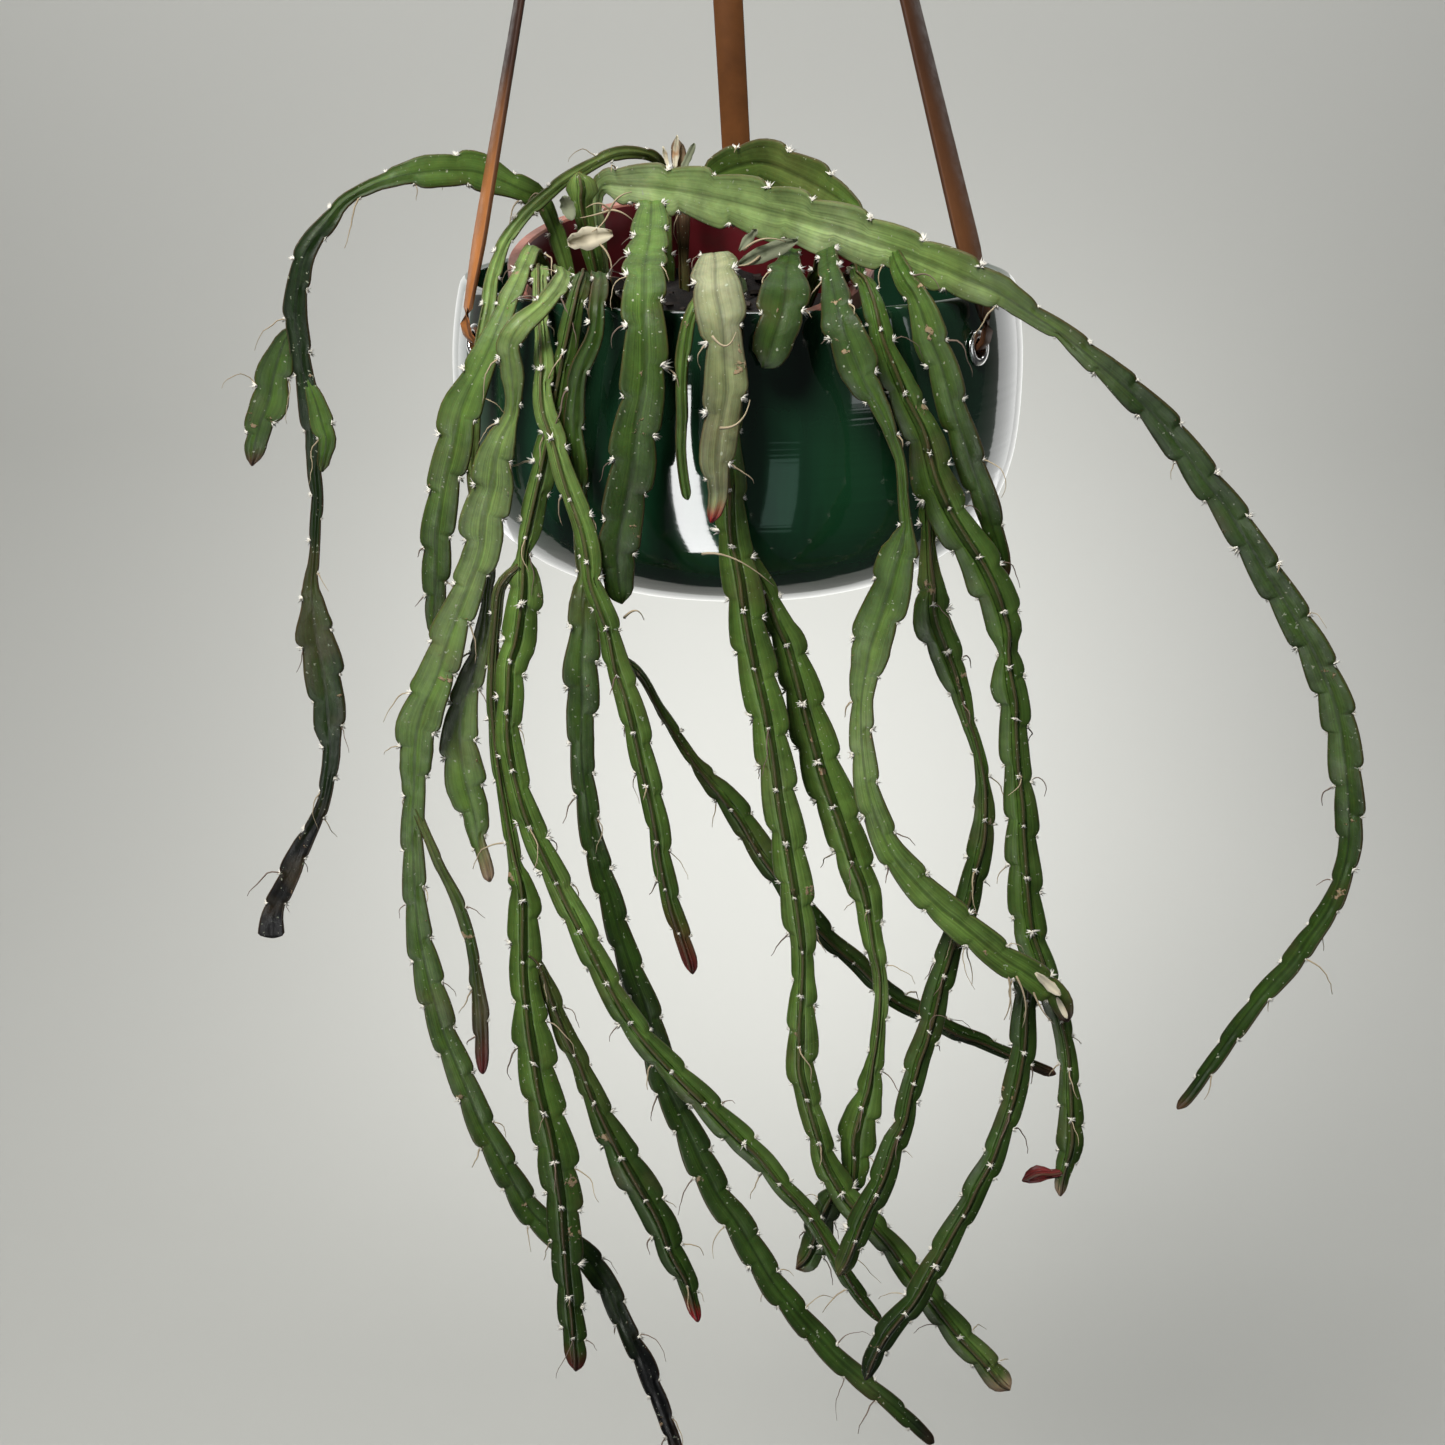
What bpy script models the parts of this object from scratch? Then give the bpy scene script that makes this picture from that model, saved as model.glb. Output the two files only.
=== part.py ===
"""Hanging bowl of trailing cactus: a glazed bowl on three leather straps, with a potted plant in it.

Lengths are millimetres in bowl coordinates until the last step: zero is the middle of the bowl's
rim, X runs right, Y runs back and Z runs up. The finished part is in metres, and its origin is the
point inside the hanging ring where a hook bears.
"""
import math

import bmesh
import bpy
from mathutils import Vector

# Hanging ring and straps
RING_CENTRE = Vector((-17.0, 0.0, 340.0))
RING_RADIUS = 24.0
RING_WIRE = 2.0
STRAP_WIDTH = 12.0
STRAP_THICK = 2.0
LOOP_INSIDE = 3.4
LOOP_STEP = 38.0
FOLD_LENGTH = 26.0
EYELET_HEIGHT = -17.5
EYELET_TILT = 7.0
STRAP_NECK = 5.4

# Bowl, outside size
BOWL_RADIUS = 110.0
BOWL_HEIGHT = 112.5
BOWL_WALL = 5.0
BOWL_SIDES = 40
WALL_AT_EYELET = 108.6
HOLE_RADIUS = 4.6

# Nursery pot, which leans forward inside the bowl
POT_RADIUS = 64.0
POT_LIP = 67.0
POT_HEIGHT = 107.7
POT_BASE = 47.0
POT_WALL = 1.4
POT_LEAN = 14.0
POT_RIM_CENTRE = Vector((-17.0, -31.2, 9.0))
POT_SIDES = 32
SOIL_DROP = 26.0

# Stems
SCALLOP = 21.5
NOTCH_REACH = 0.76
SHOULDER_REACH = 1.06
SHOULDER_AT = 0.88
ROOT_DEPTH = 12.0
ROOT_STANDS = 7.0
ROOT_RADIUS = 3.2
ROOT_HOLE = 3.75
HOLE_MOUTH = 4.7
SOIL_HOLE_SIDES = 8

# The drawing board that the stems are laid out on: it stands square to the sight line of an eye in
# front of the plant, and a place on it is given in millimetres across and down from its top left.
EYE = Vector((0.0, -735.0, 92.0))
EYE_DOWN = 20.6
EYE_LEFT = 0.45
BOARD_AWAY = 940.0
BOARD_MIDDLE = 361.25

HOOK_POINT = RING_CENTRE + Vector((0.0, 0.0, RING_RADIUS - RING_WIRE))
MM = 0.001


def clear_scene():
    for item in list(bpy.data.objects):
        bpy.data.objects.remove(item, do_unlink=True)


def finished(name, red, green, blue, roughness, metallic=0.0):
    """A plain Principled material of its own for one node."""
    material = bpy.data.materials.new(name)
    material.use_nodes = True
    shader = material.node_tree.nodes["Principled BSDF"]
    shader.inputs["Base Color"].default_value = (red, green, blue, 1.0)
    shader.inputs["Roughness"].default_value = roughness
    shader.inputs["Metallic"].default_value = metallic
    return material


def add_solid(name, points, faces, colour=None, helper=False):
    """Makes one object from points in bowl millimetres, closed and facing out."""
    mesh = bpy.data.meshes.new(name)
    mesh.from_pydata([(Vector(p) - HOOK_POINT) * MM for p in points], [], faces)
    work = bmesh.new()
    work.from_mesh(mesh)
    bmesh.ops.recalc_face_normals(work, faces=work.faces)
    work.to_mesh(mesh)
    work.free()
    solid = bpy.data.objects.new(name, mesh)
    bpy.context.collection.objects.link(solid)
    for polygon in mesh.polygons:
        polygon.use_smooth = True
    if colour:
        mesh.materials.append(finished(name, *colour))
    if helper:
        solid.hide_render = True
        solid.display_type = "WIRE"
    return solid


def turned(profile, sides, centre, axis, start=None):
    """Points and faces of a profile of (radius, height) turned about an axis; zero radius is a pole."""
    axis = Vector(axis).normalized()
    side = Vector(start) if start else axis.orthogonal()
    side = (side - side.dot(axis) * axis).normalized()
    other = axis.cross(side)
    points = []
    rows = []
    for radius, height in profile:
        base = Vector(centre) + axis * height
        if radius == 0:
            rows.append([len(points)])
            points.append(base)
            continue
        rows.append(list(range(len(points), len(points) + sides)))
        for k in range(sides):
            angle = 2 * math.pi * k / sides
            points.append(base + (side * math.cos(angle) + other * math.sin(angle)) * radius)
    open_ends = len(rows[0]) == 1 and len(rows[-1]) == 1
    pairs = list(zip(rows, rows[1:])) if open_ends else list(zip(rows, rows[1:] + rows[:1]))
    faces = []
    for low, high in pairs:
        for k in range(sides):
            n = (k + 1) % sides
            if len(low) == 1:
                faces.append((low[0], high[k], high[n]))
            elif len(high) == 1:
                faces.append((low[k], low[n], high[0]))
            else:
                faces.append((low[k], low[n], high[n], high[k]))
    return points, faces


def boolean(target, tool, operation):
    """Applies one Boolean to the target and removes the tool."""
    change = target.modifiers.new(operation.title(), "BOOLEAN")
    change.operation = operation
    change.solver = "EXACT"
    change.object = tool
    bpy.context.view_layer.objects.active = target
    bpy.ops.object.modifier_apply(modifier=change.name)
    bpy.data.objects.remove(tool, do_unlink=True)


def turn(angle):
    """The level direction at an angle in degrees from straight forward, positive to the right."""
    return Vector((math.sin(math.radians(angle)), -math.cos(math.radians(angle)), 0.0))


# The bowl: a thick glazed shell with a rounded lip, slightly bulging sides and a small flat base
def bowl_outside():
    """(radius, height) down the outside, from the lip to the base."""
    return [
        (103.4, 0.0),
        (105.0, -1.2),
        (106.2, -4.0),
        (108.0, -13.0),
        (109.6, -26.0),
        (BOWL_RADIUS, -40.0),
        (109.6, -54.0),
        (108.0, -67.0),
        (104.2, -80.0),
        (97.6, -92.0),
        (87.0, -102.0),
        (73.0, -109.4),
        (59.0, -BOWL_HEIGHT),
    ]


def bowl_inside():
    """(radius, height) up the inside, from the floor to the lip."""
    return [
        (55.0, -BOWL_HEIGHT + BOWL_WALL),
        (72.0, -103.0),
        (88.0, -92.2),
        (98.0, -77.4),
        (103.2, -60.0),
        (105.0, -40.0),
        (104.4, -26.0),
        (102.8, -12.0),
        (101.4, -2.0),
    ]


def make_bowl():
    profile = [(0.0, -BOWL_HEIGHT + BOWL_WALL)] + bowl_inside() + bowl_outside() + [(0.0, -BOWL_HEIGHT)]
    points, faces = turned(profile, BOWL_SIDES, (0, 0, 0), (0, 0, 1), (1, 0, 0))
    bowl = add_solid("bowl", points, faces, (0.012, 0.06, 0.035, 0.12))
    for place in STRAP_ANGLES:
        middle, outward = eyelet_seat(place)
        hole = [(0.0, -16.0), (HOLE_RADIUS, -16.0), (HOLE_RADIUS, 8.0), (0.0, 8.0)]
        points, faces = turned(hole, 14, middle, outward)
        boolean(bowl, add_solid("hole_cutter", points, faces, helper=True), "DIFFERENCE")


# The eyelets: a metal grommet through each hole, with a rolled flange on both sides of the wall
STRAP_ANGLES = {"left": -60.0, "right": 51.0, "back": 179.0}
EYELET_BORE = 3.5
EYELET_FLANGE = 6.2


def eyelet_seat(place):
    """The middle of an eyelet on the bowl's outer face, and the way that face points there."""
    level = turn(STRAP_ANGLES[place])
    tilt = math.radians(EYELET_TILT)
    middle = level * WALL_AT_EYELET + Vector((0, 0, EYELET_HEIGHT))
    return middle, level * math.cos(tilt) + Vector((0, 0, math.sin(tilt)))


def make_eyelet(place):
    middle, outward = eyelet_seat(place)
    inner = -BOWL_WALL - 0.8
    profile = [
        (EYELET_BORE, inner - 0.8),
        (EYELET_BORE, 1.1),
        (EYELET_BORE + 0.9, 1.7),
        (EYELET_FLANGE - 0.5, 1.3),
        (EYELET_FLANGE, 0.7),
        (HOLE_RADIUS - 0.4, 0.3),
        (HOLE_RADIUS - 0.4, inner),
        (EYELET_FLANGE, inner - 0.3),
        (EYELET_FLANGE - 0.5, inner - 1.1),
    ]
    points, faces = turned(profile, 16, middle, outward)
    add_solid("eyelet_" + place, points, faces, (0.75, 0.74, 0.72, 0.25, 1.0))


# The hanging ring: a welded ring of round steel wire that faces the viewer
def make_ring():
    points = []
    faces = []
    around = 32
    section = 8
    for i in range(around):
        a = 2 * math.pi * i / around
        out = Vector((math.sin(a), 0, -math.cos(a)))
        for k in range(section):
            b = 2 * math.pi * k / section
            reach = RING_RADIUS + RING_WIRE * math.cos(b)
            points.append(RING_CENTRE + out * reach + Vector((0, RING_WIRE * math.sin(b), 0)))
    for i in range(around):
        for k in range(section):
            a = i * section + k
            b = i * section + (k + 1) % section
            c = (i + 1) % around * section + (k + 1) % section
            d = (i + 1) % around * section + k
            faces.append((a, b, c, d))
    add_solid("hanging_ring", points, faces, (0.6, 0.6, 0.6, 0.3, 1.0))


# The straps: flat leather, folded round the ring at the top; each narrows to a tail that goes in
# through its eyelet and ends in a knot inside the bowl. A strap turns about its own length: its
# face points straight forward at the ring, and by these angles lower down.
STRAP_LOOPS = {"left": -LOOP_STEP, "right": LOOP_STEP, "back": 0.0}
STRAP_UPPER_TURN = {"left": -82.0, "right": 76.0, "back": 0.0}
STRAP_LOWER_TURN = {"left": -64.0, "right": 42.0, "back": 0.0}
TWIST_DONE = 0.32


def strap_section(width):
    half = width / 2
    thick = STRAP_THICK / 2
    return [(-half, -thick), (half, -thick), (half, thick), (-half, thick)]


def square_frame(along, facing):
    """Side and face directions square to the strap's length, with the face nearest to facing."""
    side = along.cross(facing).normalized()
    return side, side.cross(along).normalized()


def strap_turn(place, share):
    """The way a strap's face points at a share of its length from the ring."""
    if share < TWIST_DONE:
        return turn(STRAP_UPPER_TURN[place] * share / TWIST_DONE)
    below = (share - TWIST_DONE) / (1 - TWIST_DONE)
    return turn(STRAP_UPPER_TURN[place] * (1 - below) + STRAP_LOWER_TURN[place] * below)


def tapered_tube(centres, frames, widths):
    points = []
    for centre, (side, face), width in zip(centres, frames, widths):
        for across, depth in strap_section(width):
            points.append(centre + side * across + face * depth)
    rows = len(centres)
    faces = [(0, 1, 2, 3), tuple(range(4 * rows - 4, 4 * rows))]
    for row in range(rows - 1):
        for k in range(4):
            n = (k + 1) % 4
            faces.append((4 * row + k, 4 * row + n, 4 * row + 4 + n, 4 * row + 4 + k))
    return points, faces


def make_strap(place):
    angle = math.radians(STRAP_LOOPS[place])
    out = Vector((math.sin(angle), 0, -math.cos(angle)))
    along_ring = Vector((math.cos(angle), 0, math.sin(angle)))
    loop_middle = RING_CENTRE + out * RING_RADIUS
    band = LOOP_INSIDE + STRAP_THICK / 2
    top = loop_middle + Vector((0, band, 0))
    seat, outward = eyelet_seat(place)
    low = seat + turn(STRAP_ANGLES[place]) * 2.4 + Vector((0, 0, 12.0))
    straight = (low - top).normalized()
    length = (low - top).length

    centres = []
    frames = []
    widths = []
    for share in (0, 0.04, 0.08, 0.12, 0.16, 0.2, 0.24, 0.28, 0.32, 0.5, 0.7, 0.84, 0.93, 0.985, 1.0):
        centres.append(top + straight * length * share)
        frames.append(square_frame(straight, strap_turn(place, share)))
        widths.append(STRAP_WIDTH if share <= 0.93 else STRAP_NECK + 50.0 * (1.0 - share))
    sideways = frames[-1][0]
    level = outward.cross(Vector((0, 0, 1))).normalized()
    level = level if level.dot(sideways) > 0 else -level
    bend = [(seat + outward * 3.6 + Vector((0, 0, 3.4)), Vector((0, 0, -1)) - outward * 0.6),
            (seat + outward * 1.8, -outward),
            (seat - outward * 3.0, -outward),
            (seat - outward * 10.0, -outward)]
    for k, (centre, heading) in enumerate(bend):
        side = sideways.lerp(level, min(1.0, (k + 1) / 2))
        side = (side - side.dot(heading.normalized()) * heading.normalized()).normalized()
        centres.append(centre)
        frames.append((side, side.cross(heading).normalized()))
        widths.append(STRAP_NECK)
    strap = add_solid("strap_" + place, *tapered_tube(centres, frames, widths), (0.28, 0.12, 0.045, 0.6))

    loop = [
        (LOOP_INSIDE, -STRAP_WIDTH / 2),
        (LOOP_INSIDE + STRAP_THICK, -STRAP_WIDTH / 2),
        (LOOP_INSIDE + STRAP_THICK, STRAP_WIDTH / 2),
        (LOOP_INSIDE, STRAP_WIDTH / 2),
    ]
    points, faces = turned(loop, 14, loop_middle, along_ring)
    boolean(strap, add_solid("loop", points, faces, helper=True), "UNION")
    in_front = Vector((0, -STRAP_THICK * 0.95, 0))
    folded = [
        loop_middle - Vector((0, band, 0)),
        loop_middle - Vector((0, band, 0)) + straight * 5.0,
        top + straight * 15.0 + in_front,
        top + straight * FOLD_LENGTH + in_front,
    ]
    fold_frames = [square_frame(straight, turn(0))] * 2
    fold_frames += [square_frame(straight, strap_turn(place, 15.0 / length))]
    fold_frames += [square_frame(straight, strap_turn(place, FOLD_LENGTH / length))]
    points, faces = tapered_tube(folded, fold_frames, [STRAP_WIDTH - 0.4] * 4)
    boolean(strap, add_solid("fold", points, faces, helper=True), "UNION")
    knot = [(0.0, -3.4), (4.0, -3.0), (6.0, -1.2), (6.2, 1.2), (4.2, 3.0), (0.0, 3.4)]
    points, faces = turned(knot, 10, seat - outward * 10.6, outward)
    boolean(strap, add_solid("knot", points, faces, helper=True), "UNION")


# The nursery pot: thin moulded plastic with a rolled lip and drain holes, leaning forward
def pot_axis():
    lean = math.radians(POT_LEAN)
    return Vector((0.0, -math.sin(lean), math.cos(lean)))


def pot_point(across, back, up):
    """A point in the pot's own frame: across, back over the pot's mouth, and up from its rim."""
    lean = math.radians(POT_LEAN)
    backward = Vector((0.0, math.cos(lean), math.sin(lean)))
    return POT_RIM_CENTRE + Vector((across, 0, 0)) + backward * back + pot_axis() * up


def pot_inside(up):
    """Inside radius at a height below the rim."""
    outside = POT_BASE + (POT_RADIUS - POT_BASE) * (POT_HEIGHT + up) / POT_HEIGHT
    return outside - POT_WALL


def make_nursery_pot():
    floor = -POT_HEIGHT + 2.0
    profile = [
        (0.0, floor),
        (pot_inside(floor), floor),
        (pot_inside(-10.0), -10.0),
        (POT_RADIUS - POT_WALL, 0.0),
        (POT_LIP - 0.6, 0.4),
        (POT_LIP, -0.6),
        (POT_LIP, -7.0),
        (POT_RADIUS - 0.4, -7.6),
        (POT_BASE, -POT_HEIGHT),
        (0.0, -POT_HEIGHT),
    ]
    points, faces = turned(profile, POT_SIDES, POT_RIM_CENTRE, pot_axis(), (1, 0, 0))
    pot = add_solid("nursery_pot", points, faces, (0.32, 0.09, 0.06, 0.45))
    for k in range(4):
        angle = math.radians(45 + 90 * k)
        drain = [(0.0, -6.0), (5.0, -6.0), (5.0, 8.0), (0.0, 8.0)]
        centre = pot_point(30 * math.cos(angle), 30 * math.sin(angle), -POT_HEIGHT)
        points, faces = turned(drain, 10, centre, pot_axis())
        boolean(pot, add_solid("drain_cutter", points, faces, helper=True), "DIFFERENCE")


# The soil: it fills the pot, is lumpy on top, and has a plain round hole for each rooted stem
def soil_top(across, back):
    """Height of the soil below the pot's rim, with low mounds."""
    mound = 1.3 * math.sin(0.11 * across + 0.6) * math.cos(0.13 * back)
    lump = 0.7 * math.sin(0.31 * across - 0.27 * back)
    return -SOIL_DROP + mound + lump


def make_soil():
    sides = 28
    rings = (0.0, 0.3, 0.65, 1.0)
    top_radius = pot_inside(-SOIL_DROP - 2.5) - 0.7
    low = -POT_HEIGHT + 2.4
    points = [pot_point(0, 0, soil_top(0, 0))]
    faces = []
    for share in rings[1:]:
        for k in range(sides):
            angle = 2 * math.pi * k / sides
            across = top_radius * share * math.cos(angle)
            back = top_radius * share * math.sin(angle)
            points.append(pot_point(across, back, soil_top(across, back)))
    for k in range(sides):
        angle = 2 * math.pi * k / sides
        reach = pot_inside(low) - 0.7
        points.append(pot_point(reach * math.cos(angle), reach * math.sin(angle), low))
    points.append(pot_point(0, 0, low))
    for k in range(sides):
        n = (k + 1) % sides
        faces.append((0, 1 + k, 1 + n))
        for row in range(len(rings) - 1):
            a = 1 + row * sides
            b = a + sides
            faces.append((a + k, b + k, b + n, a + n))
        last = 1 + (len(rings) - 1) * sides
        faces.append((last + k, last + n, len(points) - 1))
    soil = add_solid("soil", points, faces, (0.02, 0.015, 0.01, 0.95))
    for across, back in sorted({stem["root"] for stem in STEMS.values()}):
        bottom = pot_point(across, back, soil_top(across, back) - ROOT_DEPTH - 2.0)
        hole = [(0.0, 0.0), (ROOT_HOLE, 0.0), (ROOT_HOLE, 7.0), (HOLE_MOUTH, 10.5), (HOLE_MOUTH, 20.0),
                (0.0, 20.0)]
        points, faces = turned(hole, SOIL_HOLE_SIDES, bottom, pot_axis())
        boolean(soil, add_solid("root_hole", points, faces, helper=True), "DIFFERENCE")


# The stems: each has three thin wings with a notched edge. A route is a list of
# (across the board, down the board, distance forward of the bowl's middle, width over the wings).
# "facing" turns the section about the stem: at 0 its third wing points away from the eye, at 180
# it points at the eye. A side shoot starts inside the stem that it grows from.
STEMS = {
    "stem_left_arch": {
        "root": (-45, 12),
        "facing": 10,
        "routes": [
            [(273, 104, 14, 7), (260, 95, 18, 10.5), (241, 87, 24, 14), (228, 85.5, 28, 13.5),
             (215, 86, 31, 12), (199, 88.5, 33.5, 7.5), (188, 92, 34.5, 5.5), (179, 96.5, 36, 5),
             (171, 102, 38, 5.2), (164, 110.5, 40, 7.2), (156, 121, 42, 8), (151, 131, 44, 8.4),
             (149, 145, 45, 8.8), (148, 160, 46, 9), (150, 172, 46, 8), (152.5, 190, 46, 8),
             (156, 206, 46, 9), (158, 222, 45, 8.3), (157.5, 234, 45, 5.8), (158.5, 250, 44, 5),
             (157, 279, 43, 4.5), (156, 291, 42.5, 6.2), (156.5, 302, 42, 10.3), (158.5, 318, 41, 15.5),
             (161.5, 333, 40, 15.7), (163.5, 348, 39.5, 14.3), (164.5, 361, 39, 13), (165.5, 373, 38.5, 8.3),
             (164.5, 387, 38, 6.7), (161.5, 402, 37, 5.8), (157.5, 412, 36, 6), (151.5, 422, 35, 8),
             (147, 433, 34, 9.6), (141, 446, 33, 9), (136.5, 457, 31.5, 10.5), (136, 469, 31, 11.5)],
            [(148, 164, 46, 4), (142.5, 171, 46, 8.5), (137.5, 187, 46, 13), (135, 200, 46, 15),
             (131, 210, 46, 12), (128, 222, 46, 9), (126, 233, 46, 3)],
            [(154, 190, 46, 4), (158, 200, 48, 7), (161.5, 212, 49, 9), (163.5, 220, 50, 8),
             (162, 229, 50, 5), (161, 236, 50, 3)],
        ],
    },
    "stem_right_arch": {
        "root": (-34, 24),
        "facing": 20,
        "routes": [
            [(298, 96, 8, 7), (318, 92, 14, 17), (345, 95, 24, 20), (380, 103, 40, 21),
             (420, 114, 60, 20), (460, 128, 75, 17), (480, 137, 82, 16), (497, 144, 85, 13.5),
             (508, 151, 86.5, 10), (517, 157, 87.5, 8), (530, 165, 88.5, 7.5), (541, 174, 89, 8.4),
             (553, 184, 89, 9.8), (569, 198, 88.5, 11.3), (585, 215, 88, 12.2), (600, 235, 88, 12.4),
             (615, 255, 87.5, 12.3), (631, 281, 87, 12.4), (646, 305, 86.5, 12.8), (656, 322, 86, 13.5),
             (665, 342, 85, 14), (670, 358, 84, 14.3), (673, 377, 83, 13.5), (675, 398, 82, 12),
             (675.5, 414, 81, 10.6), (674, 430, 80, 8.6), (670, 443, 79, 8.8), (664, 457, 78, 9),
             (655, 469, 77, 9), (647, 481, 76.5, 9), (636, 493, 76, 8.4), (624, 507.5, 75, 7.8),
             (612, 524, 74, 7.2), (602, 538, 73.5, 6.4), (594, 549, 72.5, 5), (588.5, 554.5, 72, 3)],
            [(350, 95, 24, 5), (360, 85, 20, 14), (382, 80, 24, 18), (408, 91, 38, 17),
             (432, 107, 60, 5)],
            [(447, 125, 68, 5), (450, 134, 82, 7), (454, 141, 89, 8.2), (458, 147, 93, 9.2),
             (462.5, 157.5, 96, 11), (466, 169, 97, 12.3), (471, 181, 97, 12), (477.5, 204, 97, 11.3),
             (481, 215, 96, 11.6), (485, 227, 95, 11.6), (489, 238.5, 94, 11.3), (493, 250, 93, 10.7),
             (496.5, 261.5, 91, 8.5), (500, 273, 89, 6.5), (504, 288, 87, 3)],
        ],
    },
    "stem_green_stub": {
        "root": (-34, 10),
        "facing": 180,
        "routes": [
            [(291, 104, 24, 8), (291, 95, 25, 12), (289, 86, 25, 6)],
        ],
    },
    "stem_cut_stump": {
        "root": (-4, 36),
        "facing": 120,
        "routes": [
            [(340, 92, -8, 9), (339, 80, -10, 9), (338, 69, -10, 7)],
        ],
    },
    "stem_thin_arch": {
        "root": (-11, 47),
        "facing": 0,
        "routes": [
            [(331, 90, -19, 5), (327, 79, -12, 5), (314, 76, -4, 5), (300, 80, 4, 5), (280, 92, 16, 5),
             (262, 108, 34, 5), (252, 122, 50, 5), (246.5, 138, 63, 5.3), (244, 153, 70, 5.5),
             (241.5, 165, 73, 4.6), (239, 185, 74, 5), (236, 210, 74, 6), (236, 235, 72, 5),
             (238, 255, 70, 3)],
        ],
    },
    "stem_left_front": {
        "root": (-50, -6),
        "facing": 15,
        "routes": [
            [(268, 126, 46, 6.5), (262.5, 133, 62, 6.5), (258.5, 142, 78, 7), (253, 154, 90, 8.5),
             (245, 175, 95, 10.8), (237.5, 190, 96, 12.4), (231, 205, 96.5, 14.4), (227.5, 222, 96, 14),
             (223, 241, 94, 12.8), (219.5, 262, 90, 12.2), (218.5, 280, 86, 11.5), (218, 300, 82, 9),
             (216.5, 318, 80, 3.5)],
        ],
    },
    "stem_left_long": {
        "root": (-36, -32),
        "facing": 10,
        "routes": [
            [(281, 138, 66, 6.5), (281, 139, 86, 6.5), (277, 147, 102, 7), (268, 156, 110, 7.5),
             (260, 163, 113, 8), (255, 173, 114, 8.5), (256, 185, 113, 8.5), (257, 198, 112, 5.5),
             (256, 208, 111, 5.5), (251, 219, 110, 11), (248, 230, 109, 14), (247, 241, 108, 15.5),
             (244, 252, 106, 16.5), (242, 263, 104, 17), (241, 274, 103, 14.5), (238, 285, 102, 13),
             (232, 300, 101, 12.8), (224.5, 320, 100, 14.3), (218.5, 340, 99, 14.8), (213, 351, 98.5, 15.5),
             (209.5, 362, 98, 15.7), (208, 372, 98, 13.8), (207.5, 382, 98, 11.6), (207.5, 393, 98, 9.2),
             (206.5, 410, 98, 8.7), (207.5, 440, 98, 9), (209, 460, 98, 9.5), (212.5, 480, 98, 11.3),
             (217.5, 500, 98, 12.3), (223.5, 520, 98, 11.3), (232, 540, 98, 11.4), (240, 560, 97, 11.2),
             (251, 580, 96, 11.8), (262, 600, 94, 12), (272, 612, 93, 12), (284, 621, 92, 12),
             (296, 631, 91.5, 11.4), (304, 643, 91, 10), (313.5, 665, 89, 8.6), (322, 681, 88, 9.7),
             (328, 696, 87, 8), (333, 709, 86, 6.6), (337.5, 722, 85, 6), (341, 733, 84, 5.5),
             (344, 743, 83, 3)],
            [(241, 268, 103, 4), (245, 283, 98, 4), (243.5, 300, 95, 4.6), (241.5, 320, 92, 7.3),
             (235.5, 340, 91, 10.2), (230.5, 360, 91, 13.3), (231, 378, 91, 16), (233, 390, 91, 16.5),
             (235.5, 400, 91, 14), (238, 410, 91, 10.5), (239.5, 421, 90, 6.3), (243, 432, 89.5, 5),
             (245, 441, 89, 3.5)],
            [(206.5, 401, 98, 3), (213.5, 417.5, 100, 3.5), (221, 435, 101, 4.2), (231, 456, 101, 5.2),
             (237, 480, 101, 4.6), (238.5, 492, 101, 6), (240.5, 508, 101, 7), (241, 525, 101, 5.8),
             (241.5, 537, 101, 3)],
        ],
    },
    "stem_red_tip": {
        "root": (-44, -20),
        "facing": 200,
        "routes": [
            [(271, 136, 62, 6.5), (270, 139, 78, 6.3), (270, 147, 89, 6), (270, 157, 95, 5.6),
             (271, 168, 101, 6.2), (271.5, 182, 108, 7.5), (271, 195, 112, 7.8), (272.5, 207, 114, 8),
             (277, 220, 117, 8), (281, 235, 119, 8), (286, 250, 120, 8.3), (291, 262, 122.5, 8.7),
             (294, 275, 124, 8.3), (295.5, 290, 125, 7.6), (299.5, 301, 125.5, 8), (304, 314, 124.5, 8.6),
             (308, 333, 124, 9.4), (313, 347, 124, 10.1), (317, 362, 124, 10), (323, 388, 122, 9.4),
             (328, 410, 120, 8.9), (331, 432, 119, 8.2), (335.5, 452, 118, 7.9), (340, 466, 116, 7.4),
             (344, 478, 115, 6.3), (346.5, 487, 114, 3.5)],
            [(309, 329, 124, 3), (316, 333, 119, 3), (322, 340, 112, 3.2), (327.5, 350, 106, 3.5),
             (333.5, 360, 101, 4.4), (340, 370, 98, 4.8), (346.5, 380, 96, 4.8), (353, 388, 94, 7.5),
             (361, 397, 92, 10), (370, 409, 90, 11.2), (381, 427, 88, 11.4), (395, 445, 86, 11.4),
             (405, 459, 84.5, 10.4), (417, 472, 83, 8.8), (430, 483, 82, 8.6), (445, 498, 81, 8.6),
             (460, 506, 80, 8.5), (480, 517, 79, 7.8), (490, 520.5, 78, 6.7), (502, 526, 77.5, 5.8),
             (523, 535.5, 76, 4.6), (528, 537, 76, 3)],
        ],
    },
    "stem_front_sweep": {
        "root": (-28, -14),
        "facing": 190,
        "routes": [
            [(293, 139, 70, 7), (291, 140, 90, 6.5), (288, 150, 104, 7), (282, 178, 107, 7.5),
             (276, 210, 108, 8), (271, 235, 107, 9), (265, 262, 106, 9), (262, 277, 106, 5),
             (262, 288, 106, 11.5), (261.5, 300, 107, 13.2), (259, 320, 108, 13), (255.5, 331, 109, 11.3),
             (255, 345, 110, 10.8), (254, 360, 111, 9.8), (255, 375, 112, 10.2), (258, 390, 113, 9.2),
             (264, 410, 114, 10), (273, 430, 115, 10.2), (283, 450, 116, 10.2), (293, 470, 118, 10.2),
             (303, 490, 119, 10.1), (316, 512, 120, 10.2), (331, 530, 121, 10.5), (351, 550, 122, 11),
             (369, 568.5, 122, 11.2), (380, 579, 122, 9.4), (390, 591.5, 122, 8.2), (400, 602, 121, 7.5),
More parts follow.
